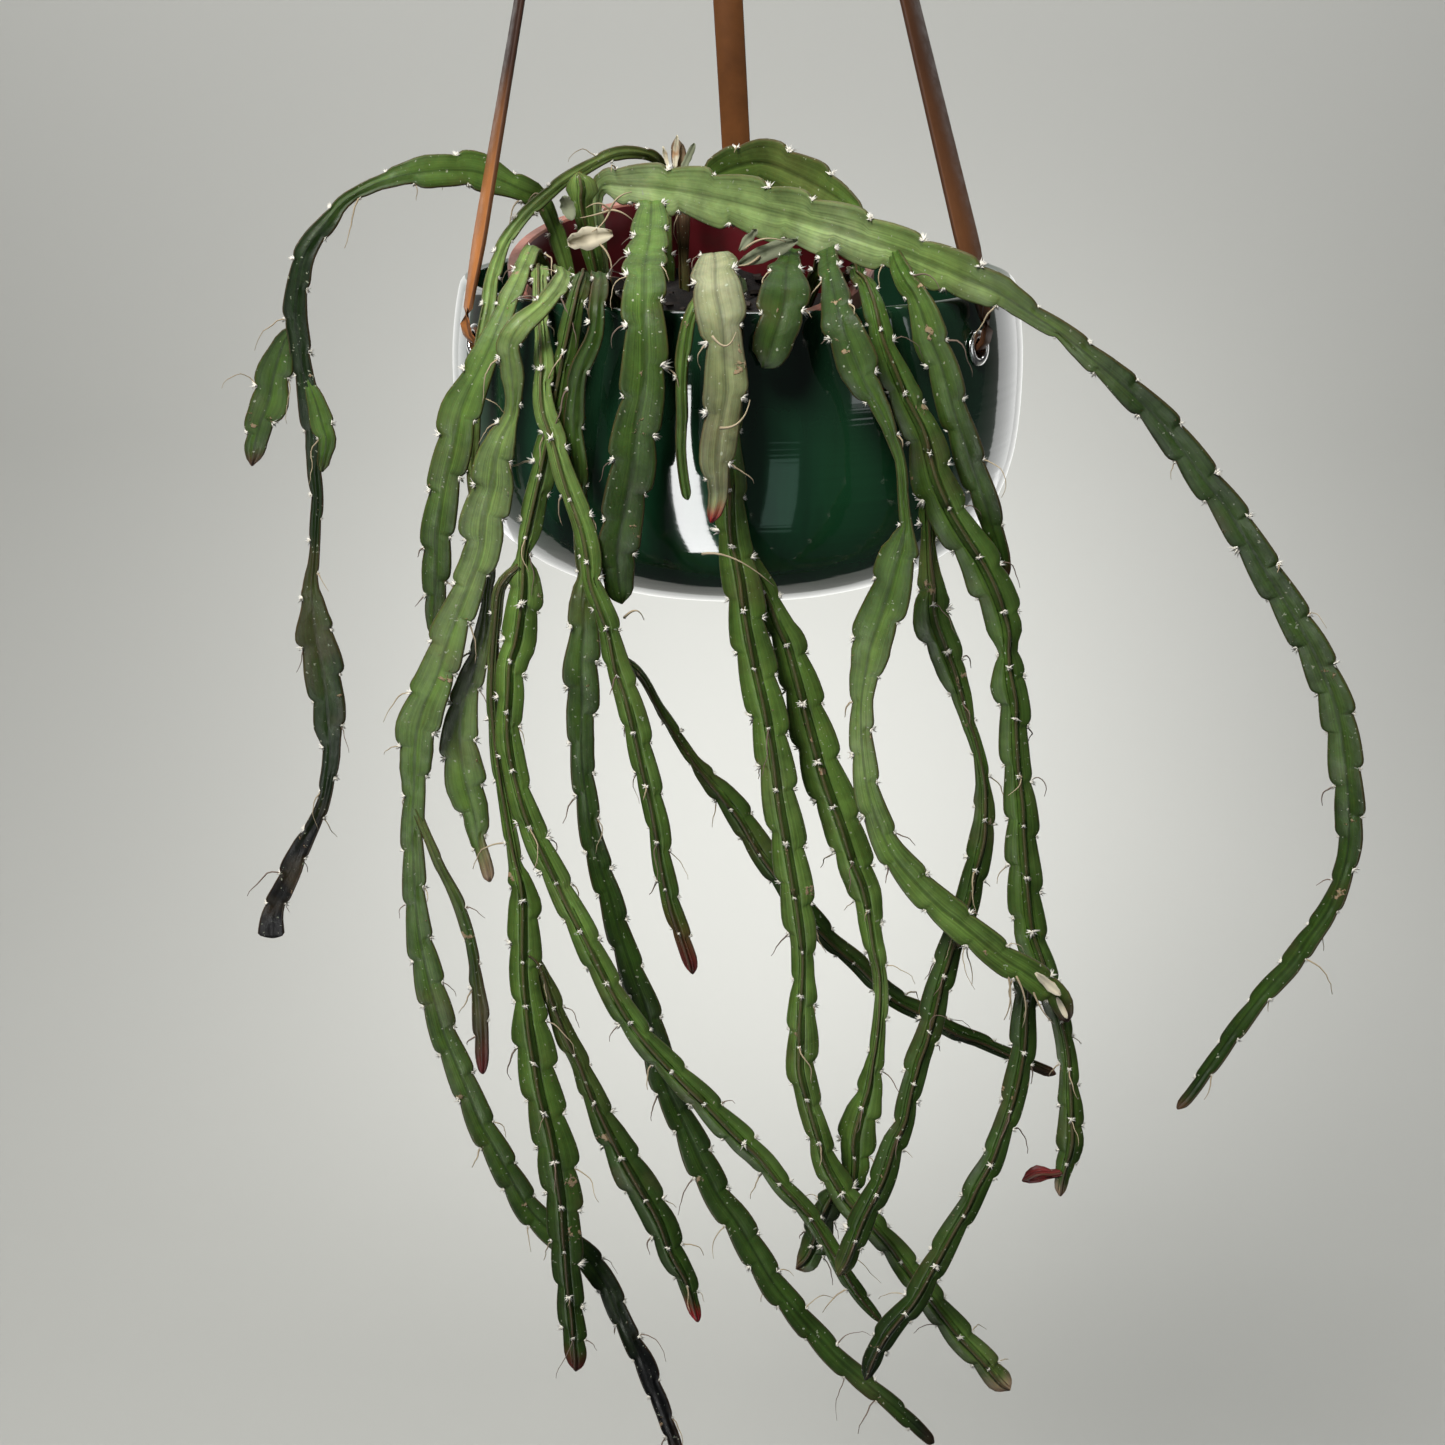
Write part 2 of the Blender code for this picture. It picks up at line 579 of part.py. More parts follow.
             (410, 615, 121, 7.3), (426, 642.5, 120, 6.5), (440.5, 661, 119, 3)],
            [(260, 283, 106, 4), (254, 288, 105, 4.2), (250, 294, 104, 4.3), (248.5, 303, 103, 4.4),
             (246.5, 330, 101, 4.6), (246, 350, 101, 4.6), (248.5, 380, 102, 4.8), (253, 405, 104, 5.2),
             (257.5, 430, 106, 5.5), (260.5, 442, 107, 9.5), (262, 455, 107, 12.8), (262, 480, 108, 12.8),
             (263, 498, 109, 11.8), (266, 520, 110, 15.8), (270, 545, 111, 15.8), (275, 565, 112, 16.4),
             (278, 580, 113, 17.4), (281, 600, 113, 15.2), (282.5, 620, 113, 13.3), (285, 650, 112, 11.3),
             (287.5, 675, 112, 9.8), (288, 685.5, 111, 4.5)],
            [(264, 477, 108, 3), (270, 483, 107, 3.2), (276, 500, 105, 7.5), (283.5, 520, 104, 8.6),
             (290, 532, 104, 8.2), (297, 550, 105, 10), (306.5, 570, 106, 12.4), (317, 589, 107, 14.8),
             (329, 609, 108, 13.6), (335.5, 626, 108, 11.8), (343, 640, 108, 9), (346.5, 652.5, 108, 5.8),
             (349, 661, 108, 3)],
        ],
    },
    "stem_low_sweep": {
        "root": (-20, -34),
        "facing": 0,
        "routes": [
            [(301, 140, 76, 6), (300, 142, 96, 6), (299, 150, 108, 6), (297, 168, 112, 6.5),
             (290.5, 184, 113, 7), (287.5, 198, 112, 7), (287, 215, 111, 7), (289, 235, 110, 7),
             (290.5, 262, 106, 6), (291.5, 286, 104, 4.7), (291.5, 294, 104, 8), (291.5, 302, 103, 10.3),
             (291.5, 315, 102.5, 11.6), (290.5, 335, 102, 13.6), (291, 350, 101.5, 12.6),
             (290.5, 368, 101, 10.2), (291, 382, 101, 8.9), (295.5, 415, 99.5, 8.7), (300, 433, 99, 9.2),
             (305.5, 450, 99, 9.7), (311, 470, 98, 9.8), (318, 490, 98, 10.7), (325, 510, 97, 10.9),
             (332, 540, 97, 11.1), (341, 560, 97, 12), (350, 580, 98, 13.1), (359, 598, 98, 11.8),
             (369, 612, 99.5, 12.4), (385.5, 640, 101, 11.9), (394, 651, 102, 10.9), (408, 667.5, 103, 10.4),
             (424, 684, 104, 9.2), (449, 705, 104, 7.6), (467, 721.5, 104, 4)],
        ],
    },
    "stem_broad_middle": {
        "root": (-14, 4),
        "facing": 0,
        "routes": [
            [(326, 104, 30, 10), (325, 119, 60, 14), (323, 132, 88, 15), (322, 139, 103, 14.5),
             (322, 149, 114, 14.5), (322, 165, 121, 15), (322, 190, 123, 15.4), (318.5, 210, 122, 15.2),
             (316.5, 230, 121, 16), (313, 252, 120, 15.2), (310, 265, 120, 15), (308.5, 279, 119, 14.8),
             (309.5, 292, 118, 10.5), (311, 302, 117, 4)],
        ],
    },
    "stem_pale_short": {
        "root": (10, -36),
        "facing": 0,
        "routes": [
            [(357, 132, 90, 10), (358, 134, 107, 14), (358, 146, 122, 16.8), (360.5, 157, 128, 16),
             (361.5, 165, 130, 14.4), (362, 176, 132, 13.4), (362.5, 186, 133, 13.8), (363, 197, 134, 14.3),
             (361, 208, 134, 13.2), (359.3, 219, 134, 12.3), (358.5, 229, 134, 11.4), (358.5, 239, 134, 8.7),
             (359, 247, 133, 6.8), (358, 254, 133, 5.4), (355.5, 261.5, 132, 2.5)],
            [(355, 143, 118, 4), (349, 150, 120, 4.2), (345, 158, 121.5, 4.3), (343, 167, 122, 4.6),
             (341.5, 178, 122.5, 4.9), (340.5, 193, 123, 4.3), (341, 209, 123, 4), (340.5, 225, 123, 3.6),
             (342, 240, 123, 3.2), (344, 250, 123, 2.6)],
        ],
    },
    "stem_middle_long": {
        "root": (16, -20),
        "facing": 190,
        "routes": [
            [(368, 141, 84, 6), (369, 143, 103, 6), (368, 152, 115, 6), (366, 180, 118, 6),
             (365, 220, 119, 8), (365.5, 245, 120, 10.5), (366.5, 270, 120, 11.8), (370, 287, 120, 14),
             (375, 320, 120, 14.5), (384, 360, 120, 14.5), (390, 400, 120, 14), (396, 435, 120, 13.6),
             (399.5, 458, 119, 13), (401.5, 476, 118, 9.6), (401.5, 488, 118, 8.8), (401, 501, 118, 10.6),
             (400.5, 520, 117, 12.3), (400.5, 535, 117, 11.6), (404, 550, 116, 10.3), (409, 567, 116, 9.6),
             (412.5, 580, 115, 11), (418, 591, 115, 12), (426, 602, 114, 12), (443, 620, 113, 10.7),
             (452, 632, 112, 11), (468, 653, 111, 11.2), (479.5, 667.5, 110, 12.3), (490, 678.5, 110, 11.6),
             (499, 689.5, 109, 10.6), (505, 695, 108, 5)],
            [(368, 268, 119, 5), (376, 284, 114, 7.5), (384, 299, 111, 8.7), (389, 312, 109, 10.4),
             (394, 323, 108, 12.6), (400, 344, 107, 14.2), (407, 370, 106, 16), (412, 388, 106, 16.7),
             (417, 402, 106, 16.6), (421, 413, 106, 15.7), (426.5, 430, 106, 14.7), (432, 444, 106, 12.8),
             (435, 459, 106, 10), (437, 473, 106, 8), (440, 488, 106, 6.2), (440, 506, 106, 6),
             (438.5, 522, 106, 6.2), (436.5, 533, 106, 8), (434.5, 545, 106, 11), (430.5, 559, 106, 15.6),
             (428, 570, 106, 17), (428, 581, 106, 13), (427.5, 590, 106, 8), (428.5, 596, 106, 4)],
            [(419, 593, 115, 4), (413, 605, 106, 11.3), (408, 620, 102, 13.6), (404, 629, 101, 10.6),
             (398, 634.5, 100, 4)],
        ],
    },
    "stem_short_leaf": {
        "root": (32, -22),
        "facing": 0,
        "routes": [
            [(395, 128, 66, 7), (394, 133, 88, 9), (393, 138, 104, 12.5), (392.5, 147, 114, 16.5),
             (390.5, 158, 119, 17.6), (387, 168, 121, 14.4), (385, 176, 121.5, 12), (383.5, 181, 121.5, 8),
             (381, 184, 121.5, 3)],
        ],
    },
    "stem_right_chain": {
        "root": (40, -18),
        "facing": 10,
        "routes": [
            [(413, 128, 64, 8), (414.5, 132.5, 86, 8), (416, 140, 102, 8.8), (419, 153, 112, 11),
             (422, 164, 117, 14), (428.5, 181, 120, 14.2), (433, 192, 121, 11),
             (439, 202, 121.5, 7.3), (445, 215, 122, 5), (450, 230, 122, 4), (452, 250, 122, 4),
             (453, 261, 121, 4.4), (452, 268, 120.5, 9), (450, 277.5, 120, 14.5), (444, 298, 119, 15.8),
             (440, 311, 119, 15.8), (435.5, 323, 118, 15), (433.5, 335, 118, 11.6), (431, 350, 118, 8.6),
             (431, 366, 118, 9.3), (432.5, 385, 118, 10), (436, 402, 118, 10.3), (443, 420, 118, 10.9),
             (449, 430.5, 118, 11.7), (460, 443, 118, 12.6), (471, 454, 117, 13.2), (481, 461.5, 117, 13.4),
             (491, 470, 116, 13), (501, 478, 115, 12.2), (511, 484.5, 114, 12.1), (521, 491.5, 113, 11.4),
             (529.5, 499, 112, 9.2), (534, 511, 111, 4)],
        ],
    },
    "stem_right_long": {
        "root": (48, -1),
        "facing": 170,
        "routes": [
            [(426, 135, 60, 6), (429, 138, 72, 6), (433, 142, 88, 7), (437, 152, 100, 7.5),
             (441, 170, 105, 8.5), (449.5, 192, 106, 10.5), (455, 204, 106, 12), (460.5, 215, 105.5, 13),
             (464, 227, 105, 15), (467, 238.5, 104, 16), (471.5, 250, 103, 16.4), (477.5, 261.5, 102, 15.4),
             (484, 272, 101, 14.8), (490, 281, 100.5, 15), (495, 291, 100, 15.5), (499.5, 302, 99, 14.3),
             (503, 314, 98.5, 13.8), (503.5, 325, 98, 7.5), (504, 334, 98, 12), (505, 342, 98, 14.6),
             (507, 354, 98, 12.2), (507.5, 372, 98, 11.3), (508.5, 385, 98, 10.6), (510.5, 402, 98, 12.2),
             (511.5, 425, 98, 13), (513, 445, 98, 14), (515, 464, 98, 13.8), (520, 480, 98, 12),
             (527, 500, 97.5, 9.6), (533, 522, 97, 8), (534.5, 540, 97, 8), (535, 556, 96, 10.2),
             (535.5, 570, 96, 11.3), (533.5, 580, 95, 9.4), (531, 590, 95, 5.8), (530, 598, 94, 3.5)],
            [(465, 236, 103, 4), (464, 255, 98, 6), (464.5, 270, 97, 6), (465, 283, 96.5, 7.3),
             (466, 293, 96, 9.8), (466, 302, 96, 13.6), (467.5, 312, 95.5, 15.2), (471.5, 323, 95, 13.8),
             (476, 334, 95, 12), (479.5, 345, 95, 8.8), (484, 360, 95, 5.6), (488, 372, 95, 4.8),
             (491.5, 390, 95, 5.6), (492, 406, 95, 8.4), (491.5, 418, 95, 10), (487.5, 435, 95, 10.2),
             (484, 451, 96, 10), (477, 470, 99, 9.8), (470.5, 491, 104, 11.2), (463.5, 519, 113, 10.5),
             (459, 531, 116, 10.1), (454.5, 549, 123, 8.8), (452, 561, 126, 8.3), (447, 572, 129, 9.8),
             (442, 588, 133, 10.1), (431.5, 610, 135, 10.1), (427, 621, 136, 9.6), (423.5, 630, 136, 8.4),
             (419, 638, 136, 3.5)],
            [(518, 472, 98, 5), (516.5, 481, 96, 8), (514, 491, 95, 11), (512.5, 508, 95, 10.9),
             (511.5, 525, 96, 11), (509, 540, 99, 11), (505.5, 553, 102, 10.3), (501, 567, 107, 9.2),
             (495.5, 581, 112.5, 9.5), (489, 593, 117, 9.9), (483, 605, 121, 9.6), (475, 619, 126, 9.8),
             (467, 633, 128.5, 10.2), (457.5, 650, 130, 10.2), (444, 666, 130, 9.6), (437, 678.5, 129, 8.2),
             (432.5, 690, 128, 3.5)],
            [(531, 586, 95, 3), (526, 587, 95, 4), (519, 587, 95, 7), (511, 590.5, 94, 3)],
        ],
    },
}


def sight_point(across, down, forward):
    """The place behind a point of the board that lies the given distance forward of the bowl's middle."""
    down_angle = math.radians(EYE_DOWN)
    left_angle = math.radians(EYE_LEFT)
    ahead = Vector((-math.sin(left_angle) * math.cos(down_angle),
                    math.cos(left_angle) * math.cos(down_angle), -math.sin(down_angle)))
    right = Vector((math.cos(left_angle), math.sin(left_angle), 0.0))
    up = right.cross(ahead)
    ray = ahead * BOARD_AWAY + right * (across - BOARD_MIDDLE) - up * (down - BOARD_MIDDLE)
    return EYE + ray * ((-forward - EYE.y) / ray.y)


def smooth_curve(knots):
    """Close stations of (point, width, distance along) on a smooth curve through the knots."""
    stations = []
    for k in range(len(knots) - 1):
        around = (knots[max(k - 1, 0)], knots[k], knots[k + 1], knots[min(k + 2, len(knots) - 1)])
        for i in range(10):
            t = i / 10
            weights = (
                -0.5 * t + t * t - 0.5 * t ** 3,
                1 - 2.5 * t * t + 1.5 * t ** 3,
                0.5 * t + 2 * t * t - 1.5 * t ** 3,
                -0.5 * t * t + 0.5 * t ** 3,
            )
            place = sum((knot[0] * w for knot, w in zip(around, weights)), Vector())
            width = around[1][1] + (around[2][1] - around[1][1]) * (3 * t * t - 2 * t ** 3)
            stations.append((place, width))
    stations.append(knots[-1])
    measured = []
    run = 0.0
    for k, (place, width) in enumerate(stations):
        if k:
            run += (place - stations[k - 1][0]).length
        measured.append((place, width, run))
    return measured


def on_curve(curve, distance):
    """Point and width of a smooth curve at a distance along it, and its nearest station before."""
    at = 0
    while at < len(curve) - 2 and curve[at + 1][2] < distance:
        at += 1
    before = curve[at]
    after = curve[at + 1]
    share = (distance - before[2]) / (after[2] - before[2])
    return before[0].lerp(after[0], share), before[1] + (after[1] - before[1]) * share, at


def heading_at(curve, distance):
    """The way a curve runs, evened out over a few millimetres."""
    ahead = on_curve(curve, distance + BEND_STEP)[0]
    return (ahead - on_curve(curve, distance - BEND_STEP)[0]).normalized()


def bend_at(curve, distance):
    """How much the heading turns in a millimetre, pointing at the middle of the bend."""
    turned_to = heading_at(curve, distance + BEND_STEP)
    return (turned_to - heading_at(curve, distance - BEND_STEP)) / (2 * BEND_STEP)


def away_sides(curve):
    """The side turned away from the eye, at each station of a curve. From the tip back to where the
    stem first points at the eye it follows the sight line, and behind that it doesn't twist."""
    sides = []
    pointing = False
    for place, width, run in reversed(curve):
        along = heading_at(curve, run)
        away = (place - EYE).normalized()
        away -= away.dot(along) * along
        pointing = pointing or away.length < POINTS_AT_EYE
        if pointing:
            away = sides[-1] - sides[-1].dot(along) * along
        sides.append(away.normalized())
    return list(reversed(sides))


def scallop_rings(length):
    """(distance, reach) of each ring: a wing is narrow just past a notch and widest just before one."""
    count = max(1, round(length / SCALLOP))
    pitch = length / count
    rings = []
    for k in range(count):
        rings.append((pitch * k, NOTCH_REACH))
        rings.append((pitch * (k + SHOULDER_AT), SHOULDER_REACH))
    rings.append((length, NOTCH_REACH))
    return rings


# Three wings and the hollows between them: angle from the away side, share of the width, and how
# far along the stem the wing's notches are shifted, in scallops. The shift grows from nothing at
# both ends, and only past the tight bend over the rims on a stem that grows from the soil.
WINGS = ((0, 0.6, 0.2), (105, 1.0, 0.0), (255, 1.0, 0.45))
SHIFT_ENDS = 32.0
SHIFT_PAST_RIM = 150.0

# A wing on the inside of a bend reaches at most this share of the bend's radius
BEND_ROOM = 0.7
BEND_STEP = 3.0

# Under this sine of the angle between a stem and the sight line, the stem points at the eye
POINTS_AT_EYE = 0.6


def stem_points(knots, facing, even_start):
    """Points and faces of one stem or side shoot; its wings' notches are level over the even start."""
    curve = smooth_curve(knots)
    length = curve[-1][2]
    aways = away_sides(curve)
    points = []
    rings = scallop_rings(length)
    for distance, reach_share in rings:
        fade = min(1.0, distance / even_start, (length - distance) / SHIFT_ENDS)
        for wing, (spread, share, shift) in enumerate(WINGS):
            following = WINGS[(wing + 1) % 3]
            hollow = spread + (following[0] - spread) % 360 / 2
            hollow_shift = (shift + following[2]) / 2
            for angle, slide, is_tip in ((spread, shift, True), (hollow, hollow_shift, False)):
                station = distance + slide * SCALLOP * fade
                place, width, at = on_curve(curve, station)
                along = heading_at(curve, station)
                away = (aways[at] - aways[at].dot(along) * along).normalized()
                side = along.cross(away)
                half = max(width / 2, 1.6)
                core = 1.3 + 0.07 * half
                radius = max(half * share * reach_share, core * 1.25) if is_tip else core
                turned_by = math.radians(angle + facing)
                outward = away * math.cos(turned_by) + side * math.sin(turned_by)
                inward = outward.dot(bend_at(curve, station))
                if inward > 0:
                    radius = min(radius, BEND_ROOM / inward)
                points.append(place + outward * radius)
    last = len(rings) - 1
    faces = []
    for row in range(last):
        for k in range(6):
            a = row * 6
            n = (k + 1) % 6
            faces.append((a + k, a + n, a + 6 + n, a + 6 + k))
    faces.append(tuple(range(6)))
    faces.append(tuple(range(last * 6, last * 6 + 6)))
    return points, faces


def make_stem(name):
    spec = STEMS[name]
    across, back = spec["root"]
    surface = soil_top(across, back)
    knots = [
        (pot_point(across, back, surface - ROOT_DEPTH), 2 * ROOT_RADIUS),
        (pot_point(across, back, surface), 2 * ROOT_RADIUS),
        (pot_point(across, back, surface + ROOT_STANDS), 2 * ROOT_RADIUS),
    ]
    stem = None
    for route in spec["routes"]:
        knots += [(sight_point(u, v, forward), width) for u, v, forward, width in route]
        if stem is None:
            points, faces = stem_points(knots, spec["facing"], SHIFT_PAST_RIM)
            stem = add_solid(name, points, faces, (0.09, 0.2, 0.06, 0.45))
        else:
            points, faces = stem_points(knots, spec["facing"], SHIFT_ENDS)
            boolean(stem, add_solid("shoot", points, faces, helper=True), "UNION")
        knots = []


clear_scene()
make_ring()
for strap_place in STRAP_ANGLES:
    make_strap(strap_place)
    make_eyelet(strap_place)
make_bowl()
make_nursery_pot()
make_soil()
for stem_name in STEMS:
    make_stem(stem_name)
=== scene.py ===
"""Looks for the hanging bowl of trailing cactus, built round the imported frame.

Places are bowl millimetres unless a line says otherwise: zero is the middle of the bowl's rim, X
runs right, Y runs back and Z runs up. The frame itself is in metres from the hook's place.
"""

import math
import random
from bisect import bisect_right

import bmesh
import bpy
from mathutils import Matrix, Vector, noise


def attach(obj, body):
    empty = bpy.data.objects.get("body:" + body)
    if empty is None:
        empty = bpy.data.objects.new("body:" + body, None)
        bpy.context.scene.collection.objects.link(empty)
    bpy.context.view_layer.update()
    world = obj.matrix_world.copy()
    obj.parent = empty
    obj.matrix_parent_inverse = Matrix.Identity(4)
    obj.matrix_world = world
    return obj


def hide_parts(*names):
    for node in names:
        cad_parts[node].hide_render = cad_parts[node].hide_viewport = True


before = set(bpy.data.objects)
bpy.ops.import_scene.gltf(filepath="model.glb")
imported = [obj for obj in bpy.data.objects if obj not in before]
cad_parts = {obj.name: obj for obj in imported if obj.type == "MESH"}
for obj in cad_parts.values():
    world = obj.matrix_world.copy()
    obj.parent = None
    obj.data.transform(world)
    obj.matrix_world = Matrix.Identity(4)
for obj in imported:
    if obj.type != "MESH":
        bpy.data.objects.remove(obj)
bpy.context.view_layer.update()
bpy.ops.object.select_all(action="DESELECT")

# The view. The eye stands 735 mm in front of the bowl's middle and looks down on the plant, as the
# photograph does, with a square frame.
MM = 0.001
HOOK = Vector((-17.0, 0.0, 362.0))
EYE = Vector((0.0, -735.0, 92.0))
EYE_DOWN = 20.6
EYE_LEFT = 0.45
LENS = 46.84
SENSOR = 36.0


def in_frame(place):
    """A place in bowl millimetres, in the frame's metres."""
    return (Vector(place) - HOOK) * MM


camera_data = bpy.data.cameras.new("camera")
camera_data.lens = LENS
camera_data.sensor_width = SENSOR
camera_data.clip_start = 0.02
camera = bpy.data.objects.new("camera", camera_data)
camera.location = in_frame(EYE)
camera.rotation_euler = (math.radians(90 - EYE_DOWN), 0.0, math.radians(EYE_LEFT))
bpy.context.scene.collection.objects.link(camera)
bpy.context.scene.camera = camera

# The studio: one pale painted sweep that is floor in front and wall behind, well clear of the
# plant, and a soft light high at the front left. Cards are seen only in the glaze: a tall bright
# window, a dim one, and pale ones behind the bowl that draw its edges.
WALL_BACK = 1.55
WALL_SIDE = 3.9
WALL_TOP = 1.9
FLOOR = -1.45
FLOOR_FRONT = 0.35
SWEEP_RADIUS = 0.7
SWEEP_STEPS = 24
PAINT = (0.54, 0.543, 0.515)


def put(material, kind, inputs=(), **fields):
    """Adds a node to a material. An input's value is a number, a colour or another node's output."""
    node = material.node_tree.nodes.new(kind)
    for field, value in fields.items():
        setattr(node, field, value)
    for socket, value in dict(inputs).items():
        if isinstance(value, bpy.types.NodeSocket):
            material.node_tree.links.new(value, node.inputs[socket])
        else:
            node.inputs[socket].default_value = value
    return node


def finish_of(name, colour, roughness, metallic=0.0, **extras):
    """A Principled material with its constants set on the shader's own sockets."""
    material = bpy.data.materials.new(name)
    material.use_nodes = True
    shader = material.node_tree.nodes["Principled BSDF"]
    shader.inputs["Base Color"].default_value = (*colour, 1.0)
    shader.inputs["Roughness"].default_value = roughness
    shader.inputs["Metallic"].default_value = metallic
    for socket, value in extras.items():
        shader.inputs[socket.replace("_", " ")].default_value = value
    return material, shader


def wire(material, output, shader, socket):
    """Joins a node's output to a shader's socket."""
    material.node_tree.links.new(output, shader.inputs[socket])


def grain(material, scale, detail=3.0, rough=0.55, stretch=(1.0, 1.0, 1.0)):
    """Noise from 0 to 1 in the object's own coordinates; scale is patches per metre."""
    place = put(material, "ShaderNodeTexCoord").outputs["Object"]
    mapped = put(material, "ShaderNodeMapping", {"Vector": place, "Scale": stretch}).outputs[0]
    noise_inputs = {"Vector": mapped, "Scale": scale, "Detail": detail, "Roughness": rough}
    return put(material, "ShaderNodeTexNoise", noise_inputs).outputs["Fac"]


def ranged(material, value, low, high, first=0.0, last=1.0):
    """A value rescaled from low..high to first..last, and held there beyond both ends."""
    inputs = {"Value": value, "From Min": low, "From Max": high, "To Min": first, "To Max": last}
    return put(material, "ShaderNodeMapRange", inputs).outputs[0]


def mixed(material, share, first, second, kind="MIX"):
    """Two colours mixed by a share."""
    node = put(material, "ShaderNodeMix", data_type="RGBA", blend_type=kind)
    for index, value in ((0, share), (6, first), (7, second)):
        if isinstance(value, bpy.types.NodeSocket):
            material.node_tree.links.new(value, node.inputs[index])
        elif index:
            node.inputs[index].default_value = (*value, 1.0)
        else:
            node.inputs[index].default_value = value
    return node.outputs[2]


def relief(material, shader, height, depth):
    """Bumps the surface by a height pattern; depth is in millimetres."""
    inputs = {"Height": height, "Distance": depth * MM, "Strength": 1.0}
    bump = put(material, "ShaderNodeBump", inputs)
    wire(material, bump.outputs[0], shader, "Normal")


def mesh_piece(name, points, faces, *materials):
    """One object at the origin from points in metres, shaded smooth."""
    mesh = bpy.data.meshes.new(name)
    mesh.from_pydata(points, [], faces)
    for material in materials:
        mesh.materials.append(material)
    mesh.shade_smooth()
    piece = bpy.data.objects.new(name, mesh)
    bpy.context.scene.collection.objects.link(piece)
    return piece


paint, paint_shader = finish_of("matte_paint", PAINT, 0.9, Specular_IOR_Level=0.2)
sweep_line = [(FLOOR_FRONT, FLOOR)]
for step in range(SWEEP_STEPS + 1):
    angle = math.radians(90 * step / SWEEP_STEPS)
    sweep_line.append((WALL_BACK - SWEEP_RADIUS + SWEEP_RADIUS * math.sin(angle),
                       FLOOR + SWEEP_RADIUS - SWEEP_RADIUS * math.cos(angle)))
sweep_line.append((WALL_BACK, WALL_TOP))
sweep_points = [(side, y, z) for y, z in sweep_line for side in (-WALL_SIDE, WALL_SIDE)]
sweep_faces = [(2 * k, 2 * k + 1, 2 * k + 3, 2 * k + 2) for k in range(len(sweep_line) - 1)]
mesh_piece("painted_sweep", sweep_points, sweep_faces, paint)


def soft_light(name, place, target, width, height, power, colour=(1.0, 1.0, 1.0), card=False):
    """An area light at a place in metres, turned to face a target. A card shows only in reflections."""
    data = bpy.data.lights.new(name, "AREA")
    data.shape = "RECTANGLE"
    data.size = width
    data.size_y = height
    data.energy = power
    data.color = colour
    light = bpy.data.objects.new(name, data)
    light.location = place
    light.rotation_mode = "QUATERNION"
    light.rotation_quaternion = (Vector(target) - Vector(place)).to_track_quat("-Z", "Y")
    light.visible_camera = False
    light.visible_diffuse = not card
    bpy.context.scene.collection.objects.link(light)
    return light


PLANT_MIDDLE = (0.0, -0.03, -0.5)
BOWL_MIDDLE = (0.0, 0.0, -0.42)
ROOM_TONE = (0.5, 0.52, 0.55, 1.0)
ROOM_STRENGTH = 0.1
soft_light("key_light", (-0.6, -1.15, 0.85), PLANT_MIDDLE, 0.7, 0.6, 44.0, (1.0, 0.985, 0.955))
soft_light("fill_light", (1.8, -1.2, -0.2), PLANT_MIDDLE, 1.0, 1.0, 5.0, (0.93, 0.97, 1.0))
soft_light("top_light", (-0.3, 0.5, 1.2), (0.0, 0.0, -0.5), 1.2, 0.8, 6.0)
soft_light("wall_light", (0.0, 0.55, 1.3), (0.0, 1.5, -1.0), 2.4, 0.5, 22.0)
low_light = soft_light("low_wall_light", (0.08, 1.0, -0.85), (0.1, 1.5, -1.12), 0.8, 0.35, 2.6)
low_light.visible_glossy = False
soft_light("window_card", (-0.47, -1.35, -1.25), BOWL_MIDDLE, 0.3, 2.0, 24.0, card=True)
soft_light("dim_card", (0.5, -1.5, -1.3), BOWL_MIDDLE, 0.35, 0.9, 0.5, (0.6, 1.0, 0.85), card=True)
soft_light("floor_card", (0.0, 1.0, -1.32), BOWL_MIDDLE, 2.4, 0.9, 3.6, card=True)
CARD_FAR = 1.55
for side, angle, width, power in ((1, 25.0, 0.53, 1.6), (1, 47.0, 0.66, 3.6),
                                  (-1, 25.0, 0.53, 1.6), (-1, 41.5, 0.36, 2.0)):
    behind = math.radians(angle)
    spot = (side * CARD_FAR * math.sin(behind), CARD_FAR * math.cos(behind), -0.5)
    soft_light("edge_card", spot, BOWL_MIDDLE, width, 1.6, power, card=True)
world = bpy.data.worlds.new("room")
world.use_nodes = True
room_light = world.node_tree.nodes["Background"]
room_light.inputs["Color"].default_value = ROOM_TONE
room_light.inputs["Strength"].default_value = ROOM_STRENGTH
bpy.context.scene.world = world
bpy.context.scene.view_settings.view_transform = "Standard"
bpy.context.scene.view_settings.look = "None"

# The hanging ring: 4 mm satin steel wire bent round and butt welded, with a small weld bead low at
# the right. A hook carries it.
RING_CENTRE = Vector((-17.0, 0.0, 340.0))
RING_RADIUS = 24.0
RING_WIRE = 2.0
WELD_ANGLE = 68.0
WELD_LONG = 2.6
WELD_RISE = 0.9

steel, steel_shader = finish_of("satin_steel", (0.55, 0.55, 0.54), 0.32, 1.0)
relief(steel, steel_shader, grain(steel, 2600, stretch=(1.0, 1.0, 0.12)), 0.02)
wire(steel, ranged(steel, grain(steel, 240), 0.3, 0.7, 0.24, 0.42), steel_shader, "Roughness")


def belongs(piece, slot, *nodes):
    """Hangs a finished piece on the frame and hides the solids it stands for; the slot is not used."""
    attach(piece, "root")
    if nodes:
        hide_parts(*nodes)


